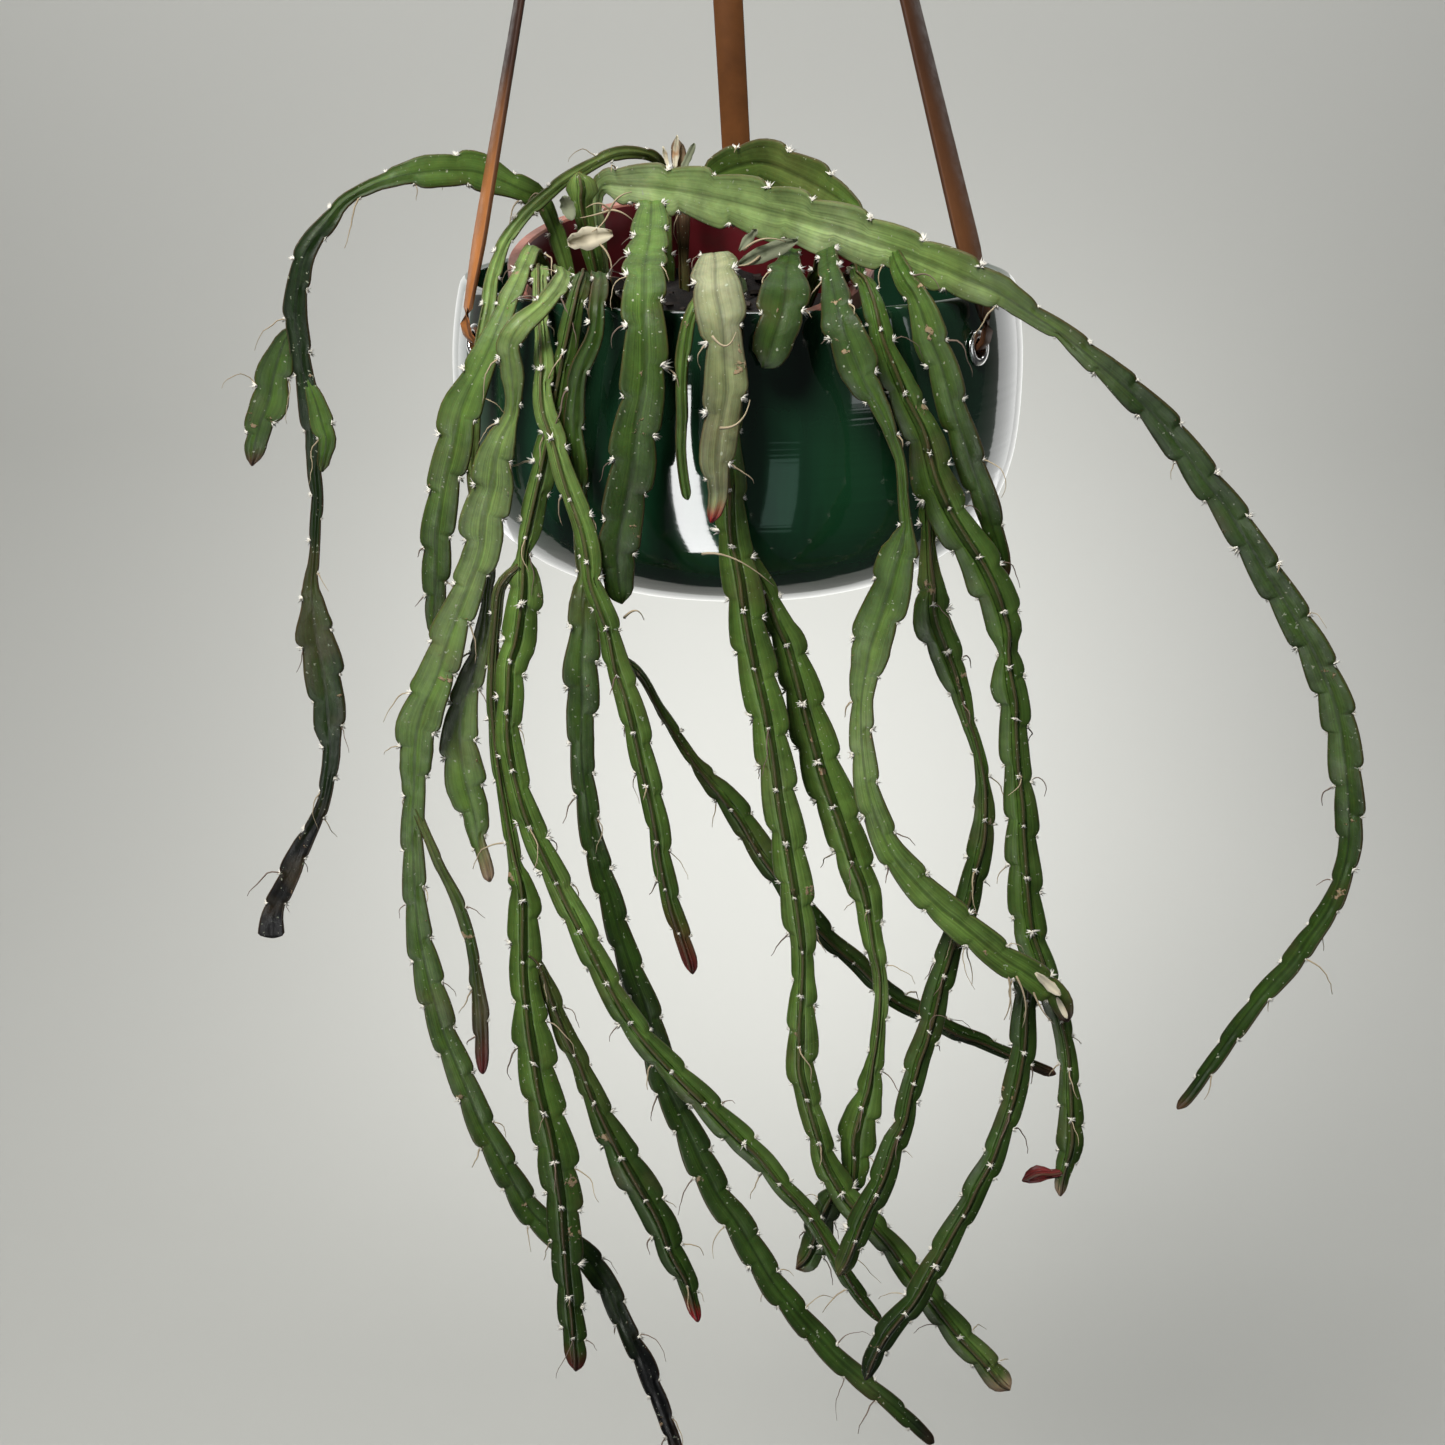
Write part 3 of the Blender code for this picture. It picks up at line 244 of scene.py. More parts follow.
bpy.ops.mesh.primitive_torus_add(
    major_radius=RING_RADIUS * MM, minor_radius=RING_WIRE * MM, major_segments=120, minor_segments=20,
    location=in_frame(RING_CENTRE), rotation=(math.radians(90), 0.0, 0.0))
ring = bpy.context.object
ring.name = "steel_ring"
bpy.ops.object.transform_apply(location=True, rotation=True, scale=True)
ring.data.materials.append(steel)
ring.data.shade_smooth()
weld_out = Vector((math.sin(math.radians(WELD_ANGLE)), 0.0, -math.cos(math.radians(WELD_ANGLE))))
weld_place = in_frame(RING_CENTRE + weld_out * RING_RADIUS)
for vertex in ring.data.vertices:
    near = 1 - (vertex.co - weld_place).length / (WELD_LONG * MM)
    if near > 0:
        vertex.co += (vertex.co - weld_place).normalized() * near * WELD_RISE * MM
belongs(ring, "ring_steel", "hanging_ring")

# The straps: 12 mm flat-cut leather, 2 mm thick. Each goes over the ring's wire and is riveted to
# itself, hangs straight, narrows at its lower end, and goes in through its eyelet to a knot.
STRAP_ANGLES = {"left": -60.0, "right": 51.0, "back": 179.0}
STRAP_LOOPS = {"left": -38.0, "right": 38.0, "back": 0.0}
STRAP_UPPER_TURN = {"left": -82.0, "right": 76.0, "back": 0.0}
STRAP_LOWER_TURN = {"left": -64.0, "right": 42.0, "back": 0.0}
TWIST_DONE = 0.32
STRAP_WIDTH = 12.0
STRAP_THICK = 2.0
STRAP_NECK = 5.4
STRAP_NARROWS = 0.93
STRAP_STEPS = 60
LOOP_INSIDE = 3.4
LOOP_BAND = LOOP_INSIDE + STRAP_THICK / 2
FOLD_LENGTH = 26.0
LAYERS_APART = 1.02 * STRAP_THICK
WALL_AT_EYELET = 108.6
EYELET_HEIGHT = -17.5
EYELET_TILT = 7.0
STRAIGHT_OUT = 2.4
STRAIGHT_UP = 12.0
KNOT_DEPTH = 10.6
KNOT_RADIUS = 2.5
KNOT_WIDTH = 3.6
KNOT_STEPS = 40
STRAP_TONES = {"left": (0.0, 0.95), "right": (0.1, 0.24), "back": (0.42, 0.44)}
# Each strap goes from its first tone to its second below this height of the frame, in metres: painted shade
# on its upper part, its tan where lit lower down.
PALES_BELOW = -0.285
PALES_OVER = 0.05
LEATHER = (0.03, 0.012, 0.007)
LEATHER_LIT_TAN = (0.52, 0.2, 0.06)
LEATHER_EDGE = (0.05, 0.02, 0.01)

leather, leather_shader = finish_of("tan_leather", LEATHER, 0.5, Specular_IOR_Level=0.2)
# Painted shade: the straps' upper parts are mixed towards the dark leather tone, their lower parts towards
# the lit tan.
lit_share = put(leather, "ShaderNodeAttribute", attribute_name="lit_share").outputs["Fac"]
cloudy = ranged(leather, grain(leather, 55, 4.0, 0.6), 0.35, 0.7, 0.0, 0.4)
hide = mixed(leather, cloudy, mixed(leather, lit_share, LEATHER, LEATHER_LIT_TAN), LEATHER_EDGE)
cut_edge = put(leather, "ShaderNodeAttribute", attribute_name="edge").outputs["Fac"]
hide = mixed(leather, ranged(leather, cut_edge, 0.6, 1.0, 0.0, 0.75), hide, LEATHER_EDGE)
wire(leather, hide, leather_shader, "Base Color")
wire(leather, ranged(leather, grain(leather, 300), 0.3, 0.7, 0.4, 0.62), leather_shader, "Roughness")
relief(leather, leather_shader, grain(leather, 1500, 4.0, 0.7), 0.12)


def add_skin(points, faces, rings):
    """Adds a closed skin over rings of equally many points to a piece's points and faces."""
    count = len(rings[0])
    first = len(points)
    for ring_points in rings:
        points += ring_points
    for row in range(len(rings) - 1):
        start = first + row * count
        for k in range(count):
            n = (k + 1) % count
            faces.append((start + k, start + n, start + count + n, start + count + k))
    faces.append(tuple(first + k for k in reversed(range(count))))
    faces.append(tuple(range(len(points) - count, len(points))))


def facing_out(piece):
    """Turns every face of a closed piece outwards."""
    work = bmesh.new()
    work.from_mesh(piece.data)
    bmesh.ops.recalc_face_normals(work, faces=work.faces)
    work.to_mesh(piece.data)
    work.free()


def level_turn(angle):
    """The level direction at an angle in degrees from straight forward, positive to the right."""
    return Vector((math.sin(math.radians(angle)), -math.cos(math.radians(angle)), 0.0))


def eyelet_seat(place):
    """The middle of an eyelet on the bowl's outer face, and the way that face points there."""
    level = level_turn(STRAP_ANGLES[place])
    tilt = math.radians(EYELET_TILT)
    middle = level * WALL_AT_EYELET + Vector((0, 0, EYELET_HEIGHT))
    return middle, level * math.cos(tilt) + Vector((0, 0, math.sin(tilt)))


def strap_turn(place, share):
    """The way a strap's face points at a share of its length below the ring."""
    if share < TWIST_DONE:
        return level_turn(STRAP_UPPER_TURN[place] * max(share, 0) / TWIST_DONE)
    below = (share - TWIST_DONE) / (1 - TWIST_DONE)
    return level_turn(STRAP_UPPER_TURN[place] * (1 - below) + STRAP_LOWER_TURN[place] * below)


def loop_way(place):
    """The way from the ring's middle to the place on its wire that a strap hangs from."""
    angle = math.radians(STRAP_LOOPS[place])
    return Vector((math.sin(angle), 0, -math.cos(angle)))


def straight_ends(place):
    """The ends of a strap's straight run: behind the ring's wire, and a little above its eyelet."""
    seat, outward = eyelet_seat(place)
    top = RING_CENTRE + loop_way(place) * RING_RADIUS + Vector((0, LOOP_BAND, 0))
    out = level_turn(STRAP_ANGLES[place])
    return top, seat + out * STRAIGHT_OUT + Vector((0, 0, STRAIGHT_UP))


def strap_ring(centre, heading, facing, width):
    """A flat section with softened edges, square to the heading."""
    side = heading.cross(facing).normalized()
    face = side.cross(heading).normalized()
    half = width / 2
    flat = half - 0.5
    thick = STRAP_THICK / 2
    edge = 0.45 * thick
    outline = [(-half, -edge), (-flat, -thick), (flat, -thick), (half, -edge),
               (half, edge), (flat, thick), (-flat, thick), (-half, edge)]
    return [in_frame(centre + side * across + face * depth) for across, depth in outline]


def strap_rings(place):
    """Rings of one strap, from the end of its fold, over the ring's wire, down to the eyelet."""
    out = loop_way(place)
    loop_middle = RING_CENTRE + out * RING_RADIUS
    top, low = straight_ends(place)
    seat, outward = eyelet_seat(place)
    straight = (low - top).normalized()
    length = (low - top).length
    in_front = strap_turn(place, FOLD_LENGTH / length) * LAYERS_APART
    rings = []
    for along, press in ((FOLD_LENGTH, 1.0), (22.0, 1.0), (17.0, 0.95), (12.0, 0.65), (7.0, 0.28),
                         (3.0, 0.06)):
        apart = Vector((0, -2 * LOOP_BAND, 0)) * (1 - press) + in_front * press
        centre = top + straight * along + apart
        facing = -strap_turn(place, along / length)
        rings.append(strap_ring(centre, -straight, facing, STRAP_WIDTH - 0.4))
    for degrees in range(0, 181, 15):
        a = math.radians(degrees)
        centre = loop_middle + Vector((0, -math.cos(a) * LOOP_BAND, 0)) - out * math.sin(a) * LOOP_BAND
        heading = Vector((0, math.sin(a), 0)) - out * math.cos(a)
        facing = Vector((0, math.cos(a), 0)) + out * math.sin(a)
        rings.append(strap_ring(centre, heading, facing, STRAP_WIDTH))
    for step in range(1, STRAP_STEPS + 1):
        share = step / STRAP_STEPS
        broad = min(1.0, (1 - share) / (1 - STRAP_NARROWS))
        width = STRAP_NECK + (STRAP_WIDTH - STRAP_NECK) * broad
        centre = top + straight * length * share
        rings.append(strap_ring(centre, straight, strap_turn(place, share), width))
    level = outward.cross(Vector((0, 0, 1))).normalized()
    bend = [(seat + outward * 3.9 + Vector((0, 0, 6.0)), Vector((0, 0, -1)) - outward * 0.25),
            (seat + outward * 3.2 + Vector((0, 0, 2.4)), Vector((0, 0, -1)) - outward * 0.8),
            (seat + outward * 1.4 + Vector((0, 0, 0.3)), Vector((0, 0, -0.3)) - outward),
            (seat - outward * 3.0, -outward),
            (seat - outward * KNOT_DEPTH, -outward)]
    for centre, heading in bend:
        heading = heading.normalized()
        rings.append(strap_ring(centre, heading, heading.cross(level), STRAP_NECK))
    return rings


def knot_rings(place):
    """Rings of the overhand knot in the strap's tail, with a short free end."""
    seat, outward = eyelet_seat(place)
    level = outward.cross(Vector((0, 0, 1))).normalized()
    upward = level.cross(outward).normalized()
    middle = seat - outward * KNOT_DEPTH
    line = []
    for step in range(KNOT_STEPS + 1):
        a = 2 * math.pi * step / KNOT_STEPS
        reach = KNOT_RADIUS * (1.35 + 0.55 * math.cos(3 * a))
        line.append(middle + level * math.cos(2 * a) * reach + upward * math.sin(2 * a) * reach
                    + outward * math.sin(3 * a) * 1.5)
    line.append(middle - outward * 4.2 + upward * 1.5)
    line.append(middle - outward * 8.0 - upward * 3.0)
    rings = []
    for before, here, after in zip([line[0]] + line, line, line[1:] + [line[-1]]):
        heading = (after - before).normalized()
        rings.append(strap_ring(here, heading, here - middle + outward * 0.3, KNOT_WIDTH))
    return rings


for place in STRAP_ANGLES:
    points = []
    faces = []
    add_skin(points, faces, strap_rings(place))
    add_skin(points, faces, knot_rings(place))
    strap = mesh_piece("leather_strap_" + place, points, faces, leather)
    facing_out(strap)
    cut = strap.data.attributes.new("edge", "FLOAT", "POINT")
    cut.data.foreach_set("value", [float(k % 8 in (0, 3, 4, 7)) for k in range(len(points))])
    dark, light = STRAP_TONES[place]
    # Painted shade: each point's tone runs from the strap's darker tone above to its lighter tone below.
    lit_share_points = strap.data.attributes.new("lit_share", "FLOAT", "POINT")
    for vertex, value in zip(strap.data.vertices, lit_share_points.data):
        paled = min(1.0, max(0.0, (PALES_BELOW - vertex.co.z) / PALES_OVER))
        value.value = dark + (light - dark) * paled
    belongs(strap, "strap_leather", "strap_" + place)

# The rivets: a small domed steel cap through both layers of each strap, 20 mm under the ring.
RIVET_DOWN = 20.0
RIVET_RADIUS = 2.4
RIVET_DOME = 1.55


def set_along(piece, axis, centre):
    """Turns a piece's mesh so that its own Z runs along an axis, and moves it to its place."""
    piece.data.transform(axis.to_track_quat("Z", "Y").to_matrix().to_4x4())
    piece.data.transform(Matrix.Translation(in_frame(centre)))


for place in STRAP_ANGLES:
    top, low = straight_ends(place)
    share = RIVET_DOWN / (low - top).length
    front = strap_turn(place, share)
    bpy.ops.mesh.primitive_uv_sphere_add(segments=20, ring_count=10, radius=RIVET_RADIUS * MM)
    rivet = bpy.context.object
    rivet.name = "strap_rivet_" + place
    rivet.data.transform(Matrix.Diagonal((1.0, 1.0, RIVET_DOME, 1.0)))
    set_along(rivet, front, top.lerp(low, share) + front * STRAP_THICK / 2)
    rivet.data.materials.append(steel)
    rivet.data.shade_smooth()
    belongs(rivet, "eyelet_steel")

# The eyelets: rolled nickel-plated grommets that line the three holes in the bowl's wall, with a
# flange on both faces.
EYELET_BORE = 3.5
EYELET_FLANGE = 6.2
EYELET_SHANK = 4.2
BOWL_WALL = 5.0

nickel, nickel_shader = finish_of("nickel_plate", (0.72, 0.71, 0.69), 0.2, 1.0)
wire(nickel, ranged(nickel, grain(nickel, 500), 0.3, 0.7, 0.14, 0.32), nickel_shader, "Roughness")


def smooth_line(points, parts):
    """More points on a smooth curve through the given ones."""
    line = []
    for k in range(len(points) - 1):
        around = [Vector(points[i]) for i in (max(k - 1, 0), k, k + 1, min(k + 2, len(points) - 1))]
        for i in range(parts):
            t = i / parts
            weights = (-0.5 * t + t * t - 0.5 * t ** 3, 1 - 2.5 * t * t + 1.5 * t ** 3,
                       0.5 * t + 2 * t * t - 1.5 * t ** 3, -0.5 * t * t + 0.5 * t ** 3)
            line.append(sum((point * w for point, w in zip(around, weights)), around[0] * 0))
    line.append(Vector(points[-1]))
    return line


def spun(name, profile, steps, centre, axis, material):
    """A piece turned on a lathe from a profile of (radius, height) in millimetres."""
    piece = mesh_piece(name, [], [], material)
    corners = [(radius * MM, 0.0, height * MM) for radius, height in profile]
    edges = [(k, k + 1) for k in range(len(profile) - 1)]
    piece.data.from_pydata(corners, edges, [])
    bpy.ops.object.select_all(action="DESELECT")
    bpy.context.view_layer.objects.active = piece
    piece.select_set(True)
    bpy.ops.object.mode_set(mode="EDIT")
    bpy.ops.mesh.select_all(action="SELECT")
    bpy.ops.mesh.spin(steps=steps, angle=2 * math.pi, center=(0, 0, 0), axis=(0, 0, 1))
    bpy.ops.mesh.select_all(action="SELECT")
    bpy.ops.mesh.remove_doubles(threshold=0.00001)
    bpy.ops.mesh.normals_make_consistent(inside=False)
    bpy.ops.object.mode_set(mode="OBJECT")
    set_along(piece, axis, centre)
    piece.data.shade_smooth()
    bpy.ops.object.select_all(action="DESELECT")
    return piece


inner_face = -BOWL_WALL - 0.8
eyelet_line = [(EYELET_BORE, inner_face - 0.8), (EYELET_BORE, -2.0), (EYELET_BORE, 1.0),
               (EYELET_BORE + 0.8, 1.7), (EYELET_FLANGE - 0.6, 1.4), (EYELET_FLANGE, 0.8),
               (EYELET_FLANGE - 0.4, 0.35), (EYELET_SHANK, 0.3), (EYELET_SHANK, -3.0),
               (EYELET_SHANK, inner_face + 0.2), (EYELET_FLANGE - 0.2, inner_face - 0.2),
               (EYELET_FLANGE - 0.5, inner_face - 1.1), (EYELET_BORE + 0.6, inner_face - 1.3),
               (EYELET_BORE, inner_face - 0.8)]
for place in STRAP_ANGLES:
    seat, outward = eyelet_seat(place)
    eyelet = spun("nickel_eyelet_" + place, smooth_line(eyelet_line, 3), 40, seat, outward, nickel)
    belongs(eyelet, "eyelet_steel", "eyelet_" + place)

# The bowl: thrown stoneware under a thick bottle-green glaze that pools teal in places and shows
# faint turning rings low down. Three holes near its rim take the eyelets.
BOWL_RADIUS = 110.0
BOWL_HEIGHT = 112.5
HOLE_RADIUS = 4.6
BOWL_STEPS = 160
GLAZE = (0.014, 0.085, 0.032)
GLAZE_TEAL = (0.02, 0.12, 0.07)
GLAZE_DARK = (0.007, 0.022, 0.011)
BASE_INSIDE = -BOWL_HEIGHT + BOWL_WALL
# Between these heights of the frame, in metres, the glaze is painted darker towards the rim, inside and out:
# painted shade.
DARKENS_ABOVE = -0.455
DARKEST_ABOVE = -0.385

glaze, glaze_shader = finish_of("bottle_green_glaze", GLAZE, 0.07, Coat_Weight=0.6,
                                Coat_Roughness=0.03)
pooled = ranged(glaze, grain(glaze, 9, 2.0, 0.5, (1.0, 1.0, 0.25)), 0.42, 0.68)
glazed = mixed(glaze, pooled, GLAZE, GLAZE_TEAL)
runs = ranged(glaze, grain(glaze, 60, 3.0, 0.6, (1.0, 1.0, 0.06)), 0.45, 0.75, 0.0, 0.6)
glazed = mixed(glaze, runs, glazed, GLAZE_DARK)
bowl_place = put(glaze, "ShaderNodeTexCoord").outputs["Object"]
bowl_height = put(glaze, "ShaderNodeSeparateXYZ", {"Vector": bowl_place}).outputs["Z"]
# Painted shade: darker towards the rim and on the inner walls.
rim_shade = ranged(glaze, bowl_height, DARKENS_ABOVE, DARKEST_ABOVE, 0.0, 0.85)
glazed = mixed(glaze, rim_shade, glazed, GLAZE_DARK)
wire(glaze, glazed, glaze_shader, "Base Color")
turning = grain(glaze, 260, 2.0, 0.5, (0.02, 0.02, 1.0))
wavy = grain(glaze, 22, 1.5, 0.4)
uneven = put(glaze, "ShaderNodeMath", {0: turning, 1: wavy}, operation="ADD").outputs[0]
relief(glaze, glaze_shader, uneven, 0.16)


def drilled(piece, centre, axis, radius, depth, sides):
    """Cuts a round hole along an axis through a piece."""
    bpy.ops.mesh.primitive_cylinder_add(vertices=sides, radius=radius * MM, depth=depth * MM)
    drill = bpy.context.object
    set_along(drill, axis, centre)
    hole = piece.modifiers.new("hole", "BOOLEAN")
    hole.object = drill
    bpy.context.view_layer.objects.active = piece
    bpy.ops.object.modifier_apply(modifier=hole.name)
    bpy.data.objects.remove(drill)


bowl_line = [(0.0, BASE_INSIDE), (30.0, BASE_INSIDE), (55.0, BASE_INSIDE), (72.0, -103.0),
             (88.0, -92.2), (98.0, -77.4), (103.2, -60.0), (105.0, -40.0), (104.4, -26.0),
             (102.8, -12.0), (101.4, -2.0), (102.0, -0.4), (103.4, 0.0), (105.0, -1.2), (106.2, -4.0),
             (108.0, -13.0), (109.6, -26.0), (BOWL_RADIUS, -40.0), (109.6, -54.0), (108.0, -67.0),
             (104.2, -80.0), (97.6, -92.0), (87.0, -102.0), (73.0, -109.4),
             (60.5, -BOWL_HEIGHT + 0.4), (57.0, -BOWL_HEIGHT), (30.0, -BOWL_HEIGHT), (0.0, -BOWL_HEIGHT)]
upright = Vector((0, 0, 1))
bowl = spun("glazed_bowl", smooth_line(bowl_line, 4), BOWL_STEPS, Vector(), upright, glaze)
for place in STRAP_ANGLES:
    seat, outward = eyelet_seat(place)
    drilled(bowl, seat, outward, HOLE_RADIUS, 30.0, 32)
belongs(bowl, "glazed_ceramic", "bowl")

# The nursery pot: thin moulded plastic, faded pink-brown outside and on its rolled lip, red inside where the
# sun hasn't reached, and that red is painted darker as shade inside the pot. It leans forward in the bowl.
POT_RADIUS = 64.0
POT_LIP = 67.0
POT_HEIGHT = 107.7
POT_BASE = 47.0
POT_WALL = 1.4
POT_LEAN = 14.0
POT_RIM_CENTRE = Vector((-17.0, -31.2, 9.0))
POT_FADED = (0.46, 0.2, 0.15)
POT_FADED_DARK = (0.3, 0.1, 0.07)
# Painted shade: the inside red is set darker than the lit plastic.
POT_RED = (0.1, 0.006, 0.01)
POT_RED_DULL = (0.06, 0.01, 0.01)
DRAIN_RADIUS = 5.0
DRAINS_OUT = 30.0

lean = math.radians(POT_LEAN)
POT_AXIS = Vector((0.0, -math.sin(lean), math.cos(lean)))
POT_BACKWARD = Vector((0.0, math.cos(lean), math.sin(lean)))


def pot_point(across, back, up):
    """A point in the pot's own frame: across, back over the pot's mouth, and up from its rim."""
    return POT_RIM_CENTRE + Vector((across, 0, 0)) + POT_BACKWARD * back + POT_AXIS * up


def pot_inside(up):
    """Inside radius at a height below the rim."""
    return POT_BASE + (POT_RADIUS - POT_BASE) * (POT_HEIGHT + up) / POT_HEIGHT - POT_WALL


faded, faded_shader = finish_of("faded_pot_plastic", POT_FADED, 0.5)
mottle = ranged(faded, grain(faded, 120, 4.0, 0.65), 0.4, 0.7)
wire(faded, mixed(faded, mottle, POT_FADED, POT_FADED_DARK), faded_shader, "Base Color")
relief(faded, faded_shader, grain(faded, 1800), 0.03)
red, red_shader = finish_of("red_pot_plastic", POT_RED, 0.35)
dull = ranged(red, grain(red, 90), 0.5, 0.8)
wire(red, mixed(red, dull, POT_RED, POT_RED_DULL), red_shader, "Base Color")

floor_up = -POT_HEIGHT + 2.0
pot_line = [(0.0, floor_up), (pot_inside(floor_up) - 0.4, floor_up),
            (pot_inside(floor_up), floor_up + 1.0), (pot_inside(-60.0), -60.0),
            (pot_inside(-10.0), -10.0), (POT_RADIUS - POT_WALL, -0.5),
            (POT_RADIUS - POT_WALL + 0.7, 0.3), (POT_LIP - 0.6, 0.4), (POT_LIP, -0.4), (POT_LIP, -6.8),
            (POT_LIP - 0.3, -7.4), (POT_RADIUS - 0.4, -7.6), (POT_RADIUS - 0.8, -9.0),
            (POT_BASE + 0.3, -POT_HEIGHT + 1.0), (POT_BASE - 0.8, -POT_HEIGHT), (0.0, -POT_HEIGHT)]
pot = spun("moulded_nursery_pot", pot_line, 128, POT_RIM_CENTRE, POT_AXIS, faded)
pot.data.materials.append(red)
for polygon in pot.data.polygons:
    middle = polygon.center / MM + HOOK - POT_RIM_CENTRE
    up = middle.dot(POT_AXIS)
    inside = (middle - POT_AXIS * up).length < pot_inside(up) + 0.3
    polygon.material_index = 1 if inside and floor_up - 0.5 < up < -0.2 else 0
for quarter in range(4):
    turned_by = math.radians(45 + 90 * quarter)
    across = DRAINS_OUT * math.cos(turned_by)
    back = DRAINS_OUT * math.sin(turned_by)
    drilled(pot, pot_point(across, back, -POT_HEIGHT), POT_AXIS, DRAIN_RADIUS, 12.0, 24)
pot.select_set(True)
bpy.ops.object.shade_smooth_by_angle(angle=math.radians(35))
pot.select_set(False)
belongs(pot, "pot_plastic", "nursery_pot")

# The soil: a dark, crumbly mix of peat and bark that fills the pot to 26 mm under its lip, with
# chips of bark lying on it.
SOIL_DROP = 26.0
SOIL_SIDES = 72
SOIL_RINGS = 24
SOIL_CLEAR = 0.7
SOIL_BOTTOM = -POT_HEIGHT + 2.6
CHIPS = 150
PEAT = (0.008, 0.006, 0.005)
BARK = (0.025, 0.015, 0.009)
BARK_DARK = (0.02, 0.012, 0.008)

peat, peat_shader = finish_of("peat_soil", PEAT, 0.95)
bits = ranged(peat, grain(peat, 420, 5.0, 0.7), 0.5, 0.75)
wire(peat, mixed(peat, bits, PEAT, BARK), peat_shader, "Base Color")
relief(peat, peat_shader, grain(peat, 700, 5.0, 0.75), 0.9)


def two_tone(name, colour, other, roughness, scale, **extras):
    """A material that drifts between two colours; scale is patches per metre."""
    material, shader = finish_of(name, colour, roughness, **extras)
    wire(material, mixed(material, grain(material, scale), colour, other), shader, "Base Color")
    return material


bark = two_tone("bark_chips", BARK, BARK_DARK, 0.85, 130)


def soil_top(across, back):
    """Height of the soil below the pot's rim, with low mounds."""
    mound = 1.3 * math.sin(0.11 * across + 0.6) * math.cos(0.13 * back)
    lump = 0.7 * math.sin(0.31 * across - 0.27 * back)
    return -SOIL_DROP + mound + lump


def crumb(across, back):
    """Small rise of the crumbs on the soil."""
    return 1.1 * noise.fractal(Vector((across * 0.16, back * 0.16, 3.0)), 1.0, 2.0, 4)


top_radius = pot_inside(-SOIL_DROP) - SOIL_CLEAR
low_radius = pot_inside(SOIL_BOTTOM) - SOIL_CLEAR
soil_points = [pot_point(0, 0, soil_top(0, 0))]
soil_faces = []
for row in range(1, SOIL_RINGS + 1):
    for k in range(SOIL_SIDES):
        angle = 2 * math.pi * k / SOIL_SIDES
        across = top_radius * row / SOIL_RINGS * math.cos(angle)
        back = top_radius * row / SOIL_RINGS * math.sin(angle)
        soil_points.append(pot_point(across, back, soil_top(across, back) + crumb(across, back)))
for k in range(SOIL_SIDES):
    angle = 2 * math.pi * k / SOIL_SIDES
    across = low_radius * math.cos(angle)
    back = low_radius * math.sin(angle)
    soil_points.append(pot_point(across, back, SOIL_BOTTOM))
for k in range(SOIL_SIDES):
    n = (k + 1) % SOIL_SIDES
    soil_faces.append((0, 1 + k, 1 + n))
    for row in range(SOIL_RINGS):
        start = 1 + row * SOIL_SIDES
        soil_faces.append((start + k, start + SOIL_SIDES + k, start + SOIL_SIDES + n, start + n))
soil_faces.append(tuple(range(len(soil_points) - SOIL_SIDES, len(soil_points))))
soil = mesh_piece("peat_soil", [in_frame(point) for point in soil_points], soil_faces, peat)
facing_out(soil)
belongs(soil, "potting_soil", "soil")

scatter = random.Random(4)
chip_points = []
chip_faces = []
for chip in range(CHIPS):
    angle = scatter.uniform(0, 2 * math.pi)
    reach = (top_radius - 4) * math.sqrt(scatter.random())
    across = reach * math.cos(angle)
    back = reach * math.sin(angle)
    middle = pot_point(across, back, soil_top(across, back) + 1.4)
    heading = Matrix.Rotation(scatter.uniform(0, 6.28), 3, "Z")
    turned_chip = heading @ Matrix.Rotation(scatter.uniform(-0.6, 0.6), 3, "X")
    size = scatter.uniform(1.2, 3.6)
    first = len(chip_points)
    for corner in range(8):
        flat = Vector(((corner & 1) - 0.5, (corner >> 1 & 1) - 0.5, (corner >> 2 & 1) - 0.5))
        shape = Vector((flat.x * size * 1.8, flat.y * size, flat.z * size * 0.5))
        shape *= scatter.uniform(0.75, 1.2)
        chip_points.append(in_frame(middle + turned_chip @ shape))
    for face in ((0, 1, 3, 2), (4, 6, 7, 5), (0, 4, 5, 1), (2, 3, 7, 6), (0, 2, 6, 4), (1, 5, 7, 3)):
        chip_faces.append(tuple(first + k for k in face))
chips = mesh_piece("bark_chips", chip_points, chip_faces, bark)
chips.data.shade_flat()
facing_out(chips)
belongs(chips, "potting_soil")

# The stems: fleshy, jointless strips with three thin wings round a firm core, notched like a saw
# along each wing. They grow from the pot's crown, arch over the bowl's rim and hang down.
BOARD_AWAY = 940.0
BOARD_MIDDLE = 361.25
SCALLOP = 21.5
ROOT_DEPTH = 12.0
ROOT_STANDS = 7.0
ROOT_RADIUS = 3.2
NOTCH_REACH = 0.76
SHOULDER_REACH = 1.065
SHOULDER_AT = 0.8
# Where the rings of one scallop lie; each wing's angle, share of the half width, and shift.
PHASES = (0.0, 0.025, 0.07, 0.15, 0.27, 0.42, 0.57, 0.7, 0.82, 0.89, 0.94, 0.975)
WINGS = ((0, 0.6, 0.2), (105, 1.0, 0.0), (255, 1.0, 0.45))
SHIFT_ENDS = 32.0
SHIFT_PAST_RIM = 150.0
BEND_ROOM = 0.7
BEND_STEP = 3.0
KNOT_PARTS = 10
POINTS_AT_EYE = 0.6
EDGE_THICK = 0.6
LEAST_HALF = 1.6
TUFTED_REACH = 2.2
CORE_RADIUS = 1.3
CORE_SHARE = 0.07
TIP_CLOSES = 3.0
